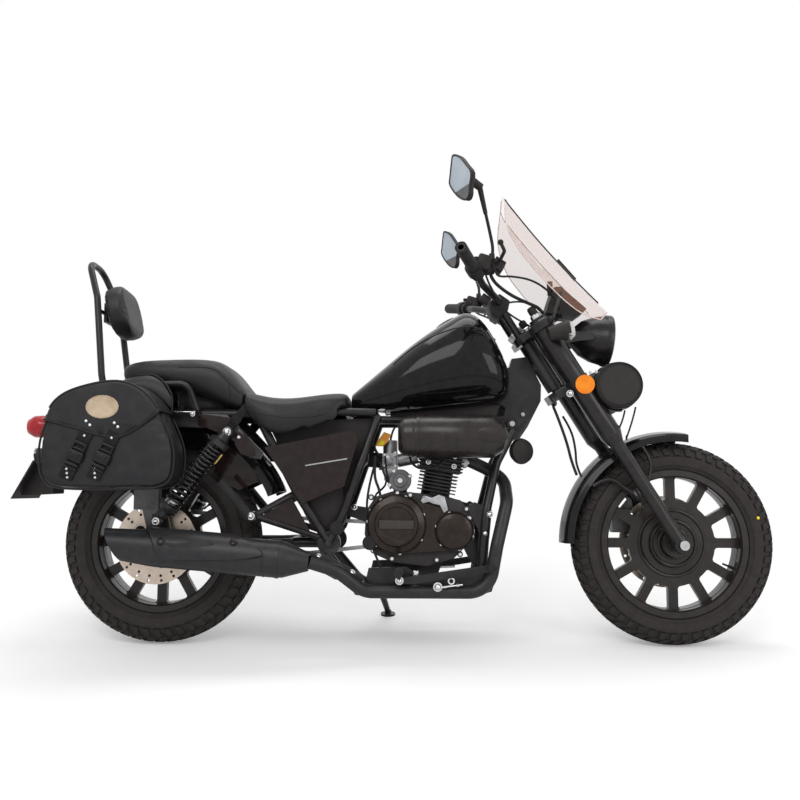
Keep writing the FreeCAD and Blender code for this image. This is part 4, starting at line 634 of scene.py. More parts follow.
def softPiece(name, bm, body, soft):
    # a closed shape, remeshed fine and even and rounded off, ready to be blown up
    mesh = bpy.data.meshes.new(name)
    bm.to_mesh(mesh)
    bm.free()
    piece = linked(name, mesh)
    modify(piece, "skin", "REMESH", mode="VOXEL", voxel_size=soft["voxel"] * mm)
    baked(piece)
    bm = bmesh.new()
    bm.from_mesh(piece.data)
    for _ in range(soft["smooth"]):
        bmesh.ops.smooth_vert(bm, verts=bm.verts, factor=0.5, use_axis_x=True, use_axis_y=True,
                              use_axis_z=True)
    bm.normal_update()
    for vert in bm.verts:
        vert.co -= vert.normal * soft["shrink"] * mm
    if "round" in soft:
        # draws the corners in, seen from the front
        middle, tall, halfWide, halfTall, amount = soft["round"]
        tall = Vector(tall)
        for vert in bm.verts:
            spot = rowToBike @ vert.co - Vector(middle)
            u, v = spot.y / halfWide, spot.dot(tall) / halfTall
            spot.y *= math.sqrt(max(0, 1 - amount * v * v))
            spot += tall * (v * halfTall * (math.sqrt(max(0, 1 - amount * u * u)) - 1))
            vert.co = bikeToRow @ (spot + Vector(middle))
    bm.to_mesh(piece.data)
    bm.free()
    piece.data.materials.clear()
    piece.data.materials.append(materials[soft["finish"]])
    piece.data.shade_smooth()
    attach(piece, body)
    return piece


def softCopy(name, body, soft):
    bm = bmesh.new()
    bm.from_mesh(nodes[soft["node"]].data)
    bmesh.ops.remove_doubles(bm, verts=bm.verts, dist=0.01 * mm)
    piece = softPiece(name, bm, body, soft)
    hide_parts(soft["node"])
    return piece


def blowUp(pieces, flatSides=None):
    # cloth under pressure: no point moves further than the cap, or inwards at a flat side
    rest = {}
    for name, piece in pieces.items():
        rest[name] = [vert.co.copy() for vert in piece.data.vertices]
        stuffing = piece.modifiers.new("stuffing", "CLOTH")
        stuffing.point_cache.frame_end = cloth["frames"]
        settings = stuffing.settings
        settings.use_pressure = True
        settings.uniform_pressure_force = cloth["pressure"]
        settings.effector_weights.gravity = 0
        settings.quality = cloth["quality"]
    for step in range(1, cloth["frames"] + 1):
        bpy.context.scene.frame_set(step)
    for name, piece in pieces.items():
        baked(piece)
        for vert, old in zip(piece.data.vertices, rest[name]):
            shift = vert.co - old
            if flatSides:
                shift -= flatSides[name] * min(0, shift.dot(flatSides[name]))
            if shift.length > cloth["cap"] * mm:
                shift *= cloth["cap"] * mm / shift.length
            vert.co = old + shift
        piece.data.shade_smooth()
    bpy.context.scene.frame_set(1)


softGoods = {
    "riderSeat": {"node": "rider_seat", "smooth": 5, "fill": 0.7},
    "pillionSeat": {"node": "pillion_seat", "smooth": 6, "fill": 0.7},
    "backrestPad": {"node": "backrest_pad", "voxel": 5, "smooth": 5, "fill": 0.8,
                    "round": ((-176.4, 0, 1002), (-0.242, 0, 0.970), 100, 84, 0.42)}}
softPieces = {name: softCopy(name, "chassis", {"finish": "seatLeather", "voxel": 6, "shrink": 1, **soft})
              for name, soft in softGoods.items()}
blowUp(softPieces)
for piece in softPieces.values():
    rounded(piece)
print("seats and pad ready")

# Saddlebags, flaps and yoke band. Outlines are side views: pairs of forward and height.
bags = {"outline": [(-246, 648), (-262, 590), (-263, 530), (-250, 488), (-214, 464), (-99, 459), (5, 462),
                    (62, 465), (98, 486), (108, 533), (101, 590), (65, 669), (22, 722), (-33, 750),
                    (-97, 750), (-181, 727), (-226, 694)],
        "inner": 187, "outer": 309, "topCut": 690, "wall": 5, "pipingBelow": 668, "flapAbove": 676,
        "finish": "bagLeather", "voxel": 6, "smooth": 5, "shrink": 0,
        "flapEdge": [(-252, 650), (-200, 636), (-148, 622), (-100, 607), (-59, 602), (-36, 604), (-14, 614),
                     (26, 640), (70, 676)],
        "patch": {"at": (-91, 684), "half": (45, 32), "stitches": 44},
        "studs": [(-134, 645), (-123, 634), (-56, 640), (-46, 629)],
        "straps": [((-133, 612), (-186, 488)), ((-58, 606), (-110, 488))],
        # a side-release buckle: size, edge, segments, place down the strap, height, places aside
        "buckle": [((6, 8, 24), 1.6, 2, 40, 4, (-16.5, 16.5)), ((41, 8, 7), 1.8, 2, 31, 4.5, (0,)),
                   ((41, 7, 5), 1.5, 2, 47, 3.5, (0,)), ((45, 11, 30), 3.2, 3, 68, 5, (0,)),
                   ((5, 6.5, 17), 1.8, 2, 66, 4.5, (-21, 21)), ((24, 3, 14), 1.2, 2, 66, 10.2, (0,)),
                   ((42, 8, 8), 2, 2, 92, 4.5, (0,)), ((42, 6, 5), 1.6, 2, 103, 3.5, (0,))]}
bothSides = (("Right", -1), ("Left", 1))


def splinePoint(a, b, c, d, t):
    a, b, c, d = map(Vector, (a, b, c, d))
    return tuple(0.5 * ((2 * b) + (c - a) * t + (2 * a - 5 * b + 4 * c - d) * t * t
                        + (3 * b - a - 3 * c + d) * t ** 3))


def smoothLoop(points, steps=6):
    # a closed outline, rounded through its points
    count = len(points)
    return [splinePoint(*(points[(i + k) % count] for k in (-1, 0, 1, 2)), step / steps)
            for i in range(count) for step in range(steps)]


def smoothLine(points, steps=6):
    # an open line, rounded through its points
    last = len(points) - 1
    return [splinePoint(*(points[min(max(i + k, 0), last)] for k in (-1, 0, 1, 2)), step / steps)
            for i in range(last) for step in range(steps)] + [tuple(points[-1])]


def openRun(points, level, above):
    # the part of a closed outline on one side of a level, as an open line
    kept = [point for point in points if (point[1] > level) == above]
    start = max(range(len(kept)), key=lambda i: (Vector(kept[i]) - Vector(kept[i - 1])).length)
    return kept[start:] + kept[:start]


def piped(bm, points, y, radius, steps=3):
    gather(bm, curveMesh([(x, y, z) for x, z in points], radius, steps=steps, sides=8))


def grownLoop(points, grow):
    # the same outline, moved outwards
    count = len(points)
    result = []
    for i in range(count):
        before, after = Vector(points[i - 1]), Vector(points[(i + 1) % count])
        along = (after - before).normalized()
        result.append((points[i][0] - along[1] * grow, points[i][1] + along[0] * grow))
    return result


bagLine = smoothLoop(bags["outline"])
if sum(a[0] * b[1] - b[0] * a[1] for a, b in zip(bagLine, bagLine[1:])) > 0:
    bagLine = bagLine[::-1]


def cutOpen(piece, height, wall):
    # opens a bag at its mouth, level with the bike, and gives the leather its thickness
    bm = bmesh.new()
    bm.from_mesh(piece.data)
    up = leanTurn.to_3x3() @ Vector((0, 0, 1))
    bmesh.ops.bisect_plane(bm, geom=bm.verts[:] + bm.edges[:] + bm.faces[:], plane_co=row((0, 0, height)),
                           plane_no=up, clear_outer=True)
    bm.to_mesh(piece.data)
    bm.free()
    thickened(piece, "leather", wall, -1)
    baked(piece)


bagPieces = {}
for sideName, side in bothSides:
    bm = bmesh.new()
    gather(bm, sheetCut(grownLoop(bagLine, -2), bags["outer"] - bags["inner"] - 3),
           Matrix.Translation((0, side * (bags["inner"] + bags["outer"]) / 2, 0)))
    bm.transform(bikeToRow)
    bagPieces[side] = softPiece("bag" + sideName, bm, "chassis", bags)
blowUp(bagPieces, {side: leanTurn.to_3x3() @ Vector((0, side, 0)) for side in bagPieces})
for side, piece in bagPieces.items():
    cutOpen(piece, bags["topCut"], bags["wall"])
    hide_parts("saddlebag_right" if side < 0 else "saddlebag_left")
    piece.data.shade_smooth()
print("bags ready")


def bagFlap(sideName, side):
    # a shell over the top of the bag, cut along its curved lower edge
    bm = bmesh.new()
    grown = grownLoop(bagLine, 4.6)
    depth = bags["outer"] - bags["inner"] + 5
    middle = side * (bags["inner"] + depth / 2 + 0.5)
    gather(bm, sheetCut(grown, depth), moved(0, middle, 0))
    back = [f for f in bm.faces if len(f.verts) > 20 and f.calc_center_median().y * side < bags["inner"] + 10]
    bmesh.ops.delete(bm, geom=back, context="FACES_ONLY")
    bevelled(bm, [e for e in bm.edges if len(e.link_faces) == 2 and e.calc_face_angle() > 1.2], 9, 4)
    # the lower edge: short cuts, each along one stretch of the curve
    edge = smoothLine(bags["flapEdge"], 4)
    front = [f for f in bm.faces if abs(f.calc_center_median().y) > bags["outer"] + 2 and len(f.verts) > 20]
    bmesh.ops.triangulate(bm, faces=front)
    for _ in range(3):
        longEdges = [e for e in bm.edges if e.calc_length() > 16]
        bmesh.ops.subdivide_edges(bm, edges=longEdges, cuts=1)
    bmesh.ops.triangulate(bm, faces=bm.faces[:])
    line = [(-420, edge[0][1])] + edge + [(300, edge[-1][1])]

    def lowest(x):
        for (x0, z0), (x1, z1) in zip(line, line[1:]):
            if x0 <= x <= x1:
                return z0 + (z1 - z0) * (x - x0) / (x1 - x0)
        return line[0][1]

    for (x0, z0), (x1, z1) in zip(line, line[1:]):
        near = [f for f in bm.faces if x0 - 30 < f.calc_center_median().x < x1 + 30
                and abs(f.calc_center_median().z - (z0 + z1) / 2) < 60]
        geom = set(near)
        for face in near:
            geom.update(face.verts)
            geom.update(face.edges)
        bmesh.ops.bisect_plane(bm, geom=list(geom), plane_co=(x0, 0, z0),
                               plane_no=Vector((z0 - z1, 0, x1 - x0)).normalized())
    low = [f for f in bm.faces if f.calc_center_median().z < lowest(f.calc_center_median().x)]
    bmesh.ops.delete(bm, geom=low, context="FACES")
    thickened(addPiece("flap" + sideName, bm, "bagLeather", "flap_" + sideName.lower(),
                       stands=("flap_" + sideName.lower(),), sharp=50), "leather",
              4.2, -1)


for sideName, side in bothSides:
    bagFlap(sideName, side)
    flapBody = "flap_" + sideName.lower()
    # piping round the bag and along the flap
    bm = bmesh.new()
    for y in (bags["outer"] - 4, bags["inner"] + 8):
        piped(bm, openRun(bagLine, bags["pipingBelow"], False), side * y, 3.0)
    addPiece("bagPiping" + sideName, bm, "leatherTrim", sharp=60)
    bm = bmesh.new()
    piped(bm, smoothLine(bags["flapEdge"], 3), side * (bags["outer"] + 4), 3.2, 4)
    piped(bm, openRun(grownLoop(bagLine, 3.0), bags["flapAbove"], True), side * (bags["outer"] + 2.5), 3.2)
    addPiece("flapPiping" + sideName, bm, "leatherTrim", flapBody, sharp=60)
    # oval patch with a raised rim, and its stitches
    (px, pz), (hx, hz) = bags["patch"]["at"], bags["patch"]["half"]
    face = bags["outer"] + 5.3
    bm = bmesh.new()
    patch = turned([(0, 1), (1.6, 1), (2.6, 0.97), (2.8, 0.93), (2.0, 0.9), (1.9, 0.86), (2.4, 0.6),
                    (2.8, 0)], 56)
    gather(bm, patch, moved(px, side * face, pz)
           @ Matrix.Rotation(math.radians(-90 * side), 4, "X") @ Matrix.Diagonal((hx, hz, 1, 1)))
    for i in range(bags["patch"]["stitches"]):
        angle = 2 * math.pi * i / bags["patch"]["stitches"]
        spot = Vector((px + hx * 0.93 * math.cos(angle), side * (face + 3.2),
                       pz + hz * 0.93 * math.sin(angle)))
        along = Vector((-hx * math.sin(angle), 0, hz * math.cos(angle))).normalized() * 1.5
        gather(bm, rod(spot - along, spot + along, 0.45, sides=6), paint=1)
    addPiece("flapPatch" + sideName, bm, ("patchLeather", "threadTan"), flapBody)
    bm = bmesh.new()
    for x, z in bags["studs"]:
        gather(bm, turned([(0, 0), (0, 4.6), (0.8, 4.6), (2.0, 3.9), (3.0, 2.4), (3.4, 0)], 20),
               movedTo((x, side * (face - 0.4), z), (0, side, 0)))
    addPiece("flapStuds" + sideName, bm, "chrome", flapBody)
    # two closing straps: the webbing, the buckle and its rivets
    bm = bmesh.new()
    for top, low in bags["straps"]:
        top, low = Vector((top[0], 0, top[1])), Vector((low[0], 0, low[1]))
        along = (low - top).normalized()
        across = Vector((along.z, 0, -along.x))
        face = bags["outer"] + 3
        turn = Matrix((across, Vector((0, 1, 0)), along)).transposed().to_4x4()

        def at(distance, out, aside=0):
            spot = top + along * distance + across * aside
            return Matrix.Translation((spot.x, side * (face + out), spot.z)) @ turn

        length = (low - top).length
        for size, distance, out in (((38, 2.4, 46), 12, 1.6), ((38, 2.4, 34), length - 17, 1.6),
                                    ((35, 3, length - 40), length / 2, 0.6)):
            gather(bm, roundedBox(size, 0.8), at(distance, out))
        for size, edge, segments, distance, out, asides in bags["buckle"]:
            for aside in asides:
                gather(bm, roundedBox(size, edge, segments), at(distance, out, aside), 1)
        for distance, aside in ((8, 0), (length - 26, 6), (length - 16, 0), (length - 6, -6)):
            stud = turned([(0, 0), (0, 4.2), (0.8, 4.2), (2.2, 3.2), (3.0, 0)], 18)
            spot = top + along * distance + across * aside
            gather(bm, stud, movedTo((spot.x, side * (face + 2.6), spot.z), (0, side, 0)), 2)
    addPiece("bagStraps" + sideName, bm, ("webbing", "buckleBlack", "chrome"), sharp=40)

# Yoke band: leather over the fender, down to the top of each bag
bm = bmesh.new()
# stations along the bike: forward, bag side height, crest (aside, height), inner forward
yoke = {"thick": 4,
        "stations": [(-120, 742, (152, 768), -112), (-84, 750, (157, 782), -84), (-48, 752, (162, 790), -50),
                     (-11, 746, (167, 796), -20), (20, 727, (174, 783), 10), (44, 708, (182, 758), 28),
                     (66, 684, (190, 722), 42)]}
columns = 13
bmesh.ops.create_grid(bm, x_segments=len(yoke["stations"]) - 1, y_segments=columns - 1, size=1)
ordered = sorted(bm.verts, key=lambda v: (round(v.co.x, 3), round(v.co.y, 3)))
for index, vert in enumerate(ordered):
    forward, low, (aside, crest), innerForward = yoke["stations"][index // columns]
    column = index % columns
    side = -1 if column < columns // 2 else 1
    half = [(forward, 191, low), (forward, 190, low + (crest - low) * 0.55), (forward, aside + 4, crest - 3),
            (forward - 4, aside - 8, crest - 1), (innerForward, 146, min(crest - 8, 752)),
            (innerForward, 132, 745), (innerForward, 0, 744)][min(column, columns - 1 - column)]
    vert.co = (half[0], side * half[1], half[2])
yokeBand = addPiece("yokeBand", bm, "bagLeather", stands=("bag_yoke",), sharp=180)
thickened(yokeBand, "leather", yoke["thick"], 0)
rounded(yokeBand, 2)
bm = bmesh.new()
for side in (-1, 1):
    crest = [(x + 3, side * (aside + 1), z + 1) for x, low, (aside, z), inner in yoke["stations"][2:]]
    gather(bm, curveMesh(crest + [(66, side * 193, 700), (66, side * 194, 682)], 2.4, sides=8))
addPiece("yokePiping", bm, "leatherTrim", sharp=60)
print("straps and yoke ready")

# Round tool bag under the headlight
toolBag = {"node": "tool_bag", "finish": "toolLeather", "voxel": 5, "smooth": 3, "shrink": 0, "fill": 0.9,
           "forward": 1363, "height": 767, "half": 148, "straps": (-92, 92)}
rounded(softCopy("toolBag", "steering", toolBag))


def toolRing(radius, y):
    corners = [2 * math.pi * i / 24 for i in range(24)]
    return [(toolBag["forward"] + radius * math.cos(a), y,
             toolBag["height"] + radius * math.sin(a)) for a in corners]


bm = bmesh.new()
for side in (-1, 1):
    gather(bm, curveMesh(toolRing(66, side * (toolBag["half"] - 1)), 2.2, cyclic=True, sides=8, steps=4))
    gather(bm, curveMesh(toolRing(60, side * (toolBag["half"] + 0.4)), 0.7, cyclic=True, sides=6, steps=4))
addPiece("toolBagPiping", bm, "leatherTrim", "steering", sharp=60)
bm = bmesh.new()
for y in toolBag["straps"]:
    loop = turned([(-11, 69.4), (-11, 72.2), (11, 72.2), (11, 69.4), (-11, 69.4)], 48)
    gather(bm, loop, movedTo((toolBag["forward"], y, toolBag["height"]), (0, 1, 0)))
    gather(bm, roundedBox((20, 24, 5), 1.5),
           moved(toolBag["forward"] + 6, y, toolBag["height"] - 72), 1)
addPiece("toolBagStraps", bm, ("leatherTrim", "buckleBlack"), "steering", sharp=50)
bm = bmesh.new()
for x, z, x1, z1 in ((1382, 694, 1366, 645), (1414, 704, 1386, 616)):
    gather(bm, curveMesh([(x, -120, z), ((x + x1) / 2 + 3, -121, (z + z1) / 2), (x1, -120, z1)], 2.6,
                         sides=8))
    gather(bm, rod((x1, -120, z1 + 4), (x1 - 2, -120, z1 - 10), 3.4, 2.6))
addPiece("toolBagTails", bm, "leatherTrim", "steering", sharp=50)

# Windshield: a flat middle, a crease each side, and wings that sweep back
shield = {"foot": (1347, 996), "crown": (1033, 1372), "bulge": 22, "creaseSide": 74, "creaseBack": 17,
          "edgeSide": 158, "edgeBack": 118, "thick": 3, "recurve": 16, "crownBack": 12, "creaseTall": 490,
          # height along the sheet and half width there
          "outline": [(0, 108), (16, 122), (60, 146), (120, 156), (200, 158), (300, 153), (360, 140),
                      (410, 118), (450, 88), (475, 56), (489, 12)]}
foot, crown = (Vector((x, 0, z)) for x, z in (shield["foot"], shield["crown"]))
shieldUp = (crown - foot).normalized()
shieldOut = Vector((shieldUp.z, 0, -shieldUp.x))
shieldTall = (crown - foot).length
sheetTall, topHalf = shield["outline"][-1]


def shieldHalf(height):
    # half the sheet's width at a height up the sheet
    for (h0, w0), (h1, w1) in zip(shield["outline"], shield["outline"][1:]):
        if h0 <= height <= h1:
            return w0 + (w1 - w0) * (height - h0) / (h1 - h0)
    return topHalf


def shieldPoint(across, along, lift=0.0):
    # across from -1 to 1, along from 0 to 1 up the sheet
    height = along * sheetTall
    y = across * shieldHalf(height)
    flat = min(abs(y), shield["creaseSide"]) / shield["creaseSide"]
    wing = max(0, abs(y) - shield["creaseSide"]) / (shield["edgeSide"] - shield["creaseSide"])
    narrow = min(1, 0.35 + along * 1.6)
    back = shield["creaseBack"] * flat ** 1.6 * narrow
    back += (shield["edgeBack"] - shield["creaseBack"]) * wing ** 0.9
    out = shield["bulge"] * narrow - shield["recurve"] * math.sin(math.pi * along)
    out -= shield["crownBack"] * along ** 2
    tilt = (1 - along) * 0.25 * back
    spot = foot + shieldUp * (height * shieldTall / sheetTall - tilt * 0.4)
    spot += shieldOut * (out - back * 0.92 + lift)
    return Vector((spot.x, y, spot.z))


bm = bmesh.new()
bmesh.ops.create_grid(bm, x_segments=40, y_segments=44, size=1)
for vert in bm.verts:
    vert.co = shieldPoint(vert.co.x, (vert.co.y + 1) / 2)
for face in bm.faces:
    face.material_index = int(abs(face.calc_center_median().y) > shield["creaseSide"])
thickened(addPiece("windshieldSheet", bm, ("clearSheet", "tintedSheet"), "steering", stands=("windshield",),
                   sharp=180), "sheet", shield["thick"], 0)
bm = bmesh.new()
for side in (-1, 1):
    gather(bm, curveMesh([shieldPoint(side, t / 24) for t in range(25)], 1.7, steps=4))
gather(bm, curveMesh([shieldPoint(a / 8 - 1, 0) for a in range(17)], 1.7, steps=4))
addPiece("windshieldEdge", bm, "shieldEdge", "steering", sharp=60)
# painted shade: a dark rod along each crease of the clear sheet, thicker on the right
bm = bmesh.new()
for side, radius in ((-1, 2.3), (1, 0.9)):
    crease = [shieldPoint(side * min(0.98, shield["creaseSide"] / shieldHalf(t / 25 * shield["creaseTall"])),
                          t / 25)
              for t in range(2, 25)]
    gather(bm, curveMesh(crease, radius, steps=4))
addPiece("windshieldCrease", bm, "shieldCrease", "steering", sharp=60)
bm = bmesh.new()
stripLow, stripHigh = shieldPoint(-0.1, 0.29, 8), shieldPoint(-0.1, 0.46, 8)
way = (stripHigh - stripLow).normalized()
turn = Matrix((way, Vector((0, 1, 0)), way.cross(Vector((0, 1, 0))))).transposed().to_4x4()
gather(bm, roundedBox(((stripHigh - stripLow).length, 22, 5), 1.2),
       Matrix.Translation((stripLow + stripHigh) / 2) @ turn)
addPiece("windshieldStrip", bm, "blackPlastic", "steering")
print("windshield ready")

# Shock absorbers: covers, spring and eyes, one each side
shock = {"top": (219, 626), "foot": (20, 368), "side": 150, "wire": 4.6, "coil": 25, "turns": 15}
bm = bmesh.new()
for side in (-1, 1):
    head = Vector((shock["top"][0], side * shock["side"], shock["top"][1]))
    tail = Vector((shock["foot"][0], side * shock["side"], shock["foot"][1]))
    way = (tail - head).normalized()
    long = (tail - head).length
    place = movedTo(head, way)
    gather(bm, turned([(-14, 0), (-14, 11), (-6, 15), (26, 20), (32, 31), (46, 31), (50, 27), (50, 9),
                       (54, 0)], 40),
           place)
    gather(bm, turned([(46, 0), (46, 8), (long - 70, 8), (long - 70, 16), (long - 20, 17), (long - 14, 10),
                       (long - 8, 0)], 32), place)
    gather(bm, turned([(long - 62, 0), (long - 62, 31), (long - 52, 31), (long - 40, 24), (long - 36, 14),
                       (long - 30, 0)], 40), place)
    gather(bm, turned([(long - 84, 0), (long - 84, 20), (long - 62, 22), (long - 60, 0)], 36), place, 1)
    # the spring, wound close at its upper end
    coil = []
    for step in range(shock["turns"] * 12 + 1):
        t = step / (shock["turns"] * 12)
        angle = 2 * math.pi * shock["turns"] * t
        along = 53 + (long - 118) * (t ** 1.12)
        coil.append(place @ Vector((shock["coil"] * math.cos(angle), shock["coil"] * math.sin(angle), along)))
    gather(bm, curveMesh(coil, shock["wire"], steps=2, sides=8, order=3), paint=2)
    for spot in (head, tail):
        eye = turned([(-11, 7), (-11, 14), (-9, 16), (9, 16), (11, 14), (11, 7), (-11, 7)], 32)
        gather(bm, eye, movedTo(spot, (0, 1, 0)))
    outer = Vector((0, side, 0))
    gather(bm, hexBolt(19, 8, domed=True), movedTo(head + outer * 12, outer), 3)
    gather(bm, hexBolt(17, 7, domed=True), movedTo(tail + outer * 12, outer), 3)
    gather(bm, rod(head - outer * 20, head + outer * 12, 6.5), paint=1)
    gather(bm, roundedBox((15, 1.6, 34), 0.5), place @ moved(4, side * 29.6, 78), 4)
addPiece("shockAbsorbers", bm, ("blackSteel", "bareSteel", "springBlack", "chrome", "goldPaint"),
         stands=("shock_absorbers",), sharp=38)
print("shocks ready")

# Fittings on the engine and frame. Places are upright, in millimetres; the right side is y below 0.
def facing(x, y, z, side=-1):
    return movedTo((x, y, z), (0, side, 0))


def plateAt(bm, outline, y, thickness, edge=1.0, paint=0, steps=0):
    gather(bm, sheetCut(smoothLoop(outline, steps) if steps else outline, thickness, edge),
           moved(0, y, 0), paint)


def boltsAt(bm, spots, y, size, height, paint=0, bolt=hexBolt, **kind):
    for x, z in spots:
        gather(bm, bolt(size, height, **kind), facing(x, y, z), paint)


def fixed(name, points, radius, finishName="rubber", body="chassis"):
    # a cable or hose clipped along the machine
    bm = bmesh.new()
    gather(bm, curveMesh(points, radius, order=3, sides=8))
    return addPiece(name, bm, finishName, body, sharp=60)


engineTrim = {
    "caseBolts": [(637, 438), (637, 400), (714, 451), (752, 445), (916, 405), (925, 379), (930, 329),
                  (897, 274), (829, 258), (793, 286), (699, 261), (644, 284)],
    # middle, radius, count and first angle of a ring of screws
    "coverBolts": [(712, 360, 84, 7, 20), (880, 341, 54, 6, 45)],
    "clutchArm": [(782, 430), (799, 442), (815, 437), (835, 446), (852, 440), (862, 402), (850, 394),
                  (838, 416), (819, 420), (806, 426), (789, 421)],
    "tag": [(672, 634), (694, 626), (684, 606), (670, 590), (646, 591), (656, 612)],
    # points and radius
    "hoses": [([(690, -10, 606), (694, -14, 640), (720, -20, 668), (800, -24, 676)], 3.2),
              ([(650, -30, 692), (641, -42, 650), (636, -46, 600), (654, -40, 562), (668, -34, 556)], 4.2),
              ([(679, -26, 506), (680, -34, 480), (668, -60, 462), (640, -80, 440), (628, -82, 330)], 3),
              ([(648, -96, 560), (646, -100, 520), (648, -100, 489), (660, -98, 462), (664, -96, 440)], 4),
              ([(676, -60, 560), (678, -90, 528), (687, -96, 489), (694, -98, 462)], 3),
              ([(648, -100, 540), (628, -104, 470), (622, -106, 380), (640, -120, 290), (668, -124, 236)],
               3.4),
              ([(700, -70, 470), (690, -96, 478), (676, -100, 500), (662, -90, 540)], 3.4)]}
bm = bmesh.new()
for x, z in engineTrim["caseBolts"]:
    gather(bm, turned([(0, 0), (0, 9), (12, 8.5), (13, 7.5), (13, 0)], 20), facing(x, -99, z))
boltsAt(bm, engineTrim["caseBolts"], -111.5, 11, 5, 1, washer=False)
for x, z, radius, count, phase in engineTrim["coverBolts"]:
    turns = [math.radians(phase + 360 * i / count) for i in range(count)]
    boltsAt(bm, [(x + radius * math.cos(a), z + radius * math.sin(a)) for a in turns], -121, 9, 5, 1,
            socketBolt)
boltsAt(bm, [(982, 390), (969, 335)], -115, 19, 8, 1, domed=True)
boltsAt(bm, [(583, 408), (628, 388)], -39, 15, 6, 1, domed=True)
addPiece("engineBolts", bm, ("engineBlack", "chrome"))
bm = bmesh.new()
plateAt(bm, engineTrim["clutchArm"], -124, 4, 0.8)
gather(bm, rod((795, -104, 434), (795, -122, 434), 6))
gather(bm, hexBolt(9, 5), facing(795, -122, 434))
gather(bm, rod((795, -90, 434), (795, -112, 434), 11, 9))
addPiece("clutchArm", bm, "castAlloy")
fixed("clutchCable", [(812, -112, 450), (862, -100, 438), (915, -86, 419), (962, -76, 408), (984, -84, 440),
                      (990, -74, 520)], 3.4)
# starter end cap
bm = bmesh.new()
gather(bm, turned([(-2, 0), (-2, 33), (8, 33), (11, 30), (11, 21), (14, 19), (14, 10), (11, 9), (11, 0)], 40),
       facing(722, -106, 487))
capScrews = [(692, 474), (750, 500), (704, 514)]
for x, z in capScrews:
    gather(bm, rod((x, -100, z), (x, -114, z), 7))
boltsAt(bm, capScrews, -113, 9, 4, 1)
boltsAt(bm, [(722, 487)], -117, 12, 5, 1)
addPiece("starterCap", bm, ("darkAlloy", "chrome"))
# carburettor: float bowl screws, choke, linkage, tag and hoses
bm = bmesh.new()
gather(bm, roundedBox((40, 8, 30), 3), moved(690, -41, 548))
gather(bm, turned([(0, 0), (0, 15), (6, 15), (8, 12), (8, 0)], 28), facing(684, -44, 549))
gather(bm, roundedBox((34, 34, 26), 4), moved(688, -22, 512))
gather(bm, rod((672, -36, 528), (660, -52, 522), 4))
gather(bm, rod((704, -40, 566), (704, -52, 566), 6))
boltsAt(bm, [(674, 532), (706, 532), (674, 564), (706, 572)], -45, 7, 4, 1, socketBolt)
addPiece("carburettorFace", bm, ("castAlloy", "chrome"))
bm = bmesh.new()
plateAt(bm, engineTrim["tag"], -52, 1.2, 0)
plateAt(bm, [(650, 594), (668, 593), (676, 604), (664, 610)], -53.2, 1.2, 0, 1)
addPiece("carburettorTag", bm, ("tagOrange", "yellowMark"))
for number, (points, radius) in enumerate(engineTrim["hoses"], start=1):
    fixed("engineHose%d" % number, points, radius)
# spark plug cap with its lead, and the header flange
bm = bmesh.new()
gather(bm, turned([(0, 0), (0, 11), (10, 11), (12, 8), (34, 8), (38, 6), (38, 0)], 24),
       movedTo((846, -62, 552), (0.1, -1, -0.1)))
addPiece("plugCap", bm, "rubber")
fixed("plugLead", [(850, -98, 548), (847, -112, 540), (821, -112, 524), (791, -112, 520), (765, -108, 528),
                   (750, -98, 549), (746, -60, 600), (750, -20, 660)], 3.6)
bm = bmesh.new()
gather(bm, rod((900, -21, 562), (908, -20.5, 558), 30, sides=36))
for dz in (-24, 24):
    gather(bm, hexBolt(12, 8, domed=True), movedTo((909, -20 + dz * 0.5, 558 + dz), (1, 0, -0.45)), 1)
plateAt(bm, [(866, 548), (880, 560), (922, 552), (930, 540), (918, 528), (884, 534)], -56, 7, 2)
addPiece("headerFlange", bm, ("castAlloy", "chrome"))
# cam cover nuts, on the head that leans with the cylinder
bm = bmesh.new()
for dx, dz in ((-38, 128), (38, 128), (-38, 98), (40, 98)):
    spot = Vector((826 + dx * 0.985 + dz * 0.174, -68, 440 + dz * 0.985 - dx * 0.174))
    gather(bm, hexBolt(12, 6, domed=True), facing(*spot))
addPiece("headNuts", bm, "chrome")
# low on the right side: rubber plugs, footpeg bolts, brake rod and its stay
bm = bmesh.new()
gather(bm, turned([(0, 0), (0, 21), (14, 21), (18, 17), (18, 0)], 32), facing(634, -112, 307))
gather(bm, turned([(0, 0), (0, 21), (4, 21), (7, 18), (7, 0)], 32), facing(539, -131, 349))
addPiece("rubberPlugs", bm, "rubber")
bm = bmesh.new()
for x, y, z, size in ((488, -141.5, 268, 15), (585, -141.5, 223, 15), (722, -187, 206, 19),
                      (830, -178, 188, 21)):
    gather(bm, hexBolt(size, size * 0.4, domed=True), facing(x, y, z))
gather(bm, rod((838, -181, 187), (900, -181, 195), 2.6, sides=12))
gather(bm, rod((846, -181, 188), (856, -181, 189.4), 5, sides=6))
gather(bm, rod((882, -181, 192.6), (890, -181, 193.7), 5, sides=6))
gather(bm, roundedBox((14, 3, 30), 1), moved(768, -142, 214))
gather(bm, rod((818, -60, 233), (884, -60, 235), 4, sides=16))
gather(bm, turned([(0, 6), (0, 10), (3, 10), (3, 6), (0, 6)], 20), facing(868, -181, 205))
addPiece("brakeRod", bm, "chrome")
bm = bmesh.new()
plateAt(bm, [(446, 285), (496, 281), (615, 218), (622, 204), (610, 196), (536, 203), (436, 256), (434, 272)],
        -137, 8, 2.5)
gather(bm, roundedBox((24, 34, 14), 3), moved(768, -124, 216))
addPiece("pegCarrier", bm, "blackSteel")
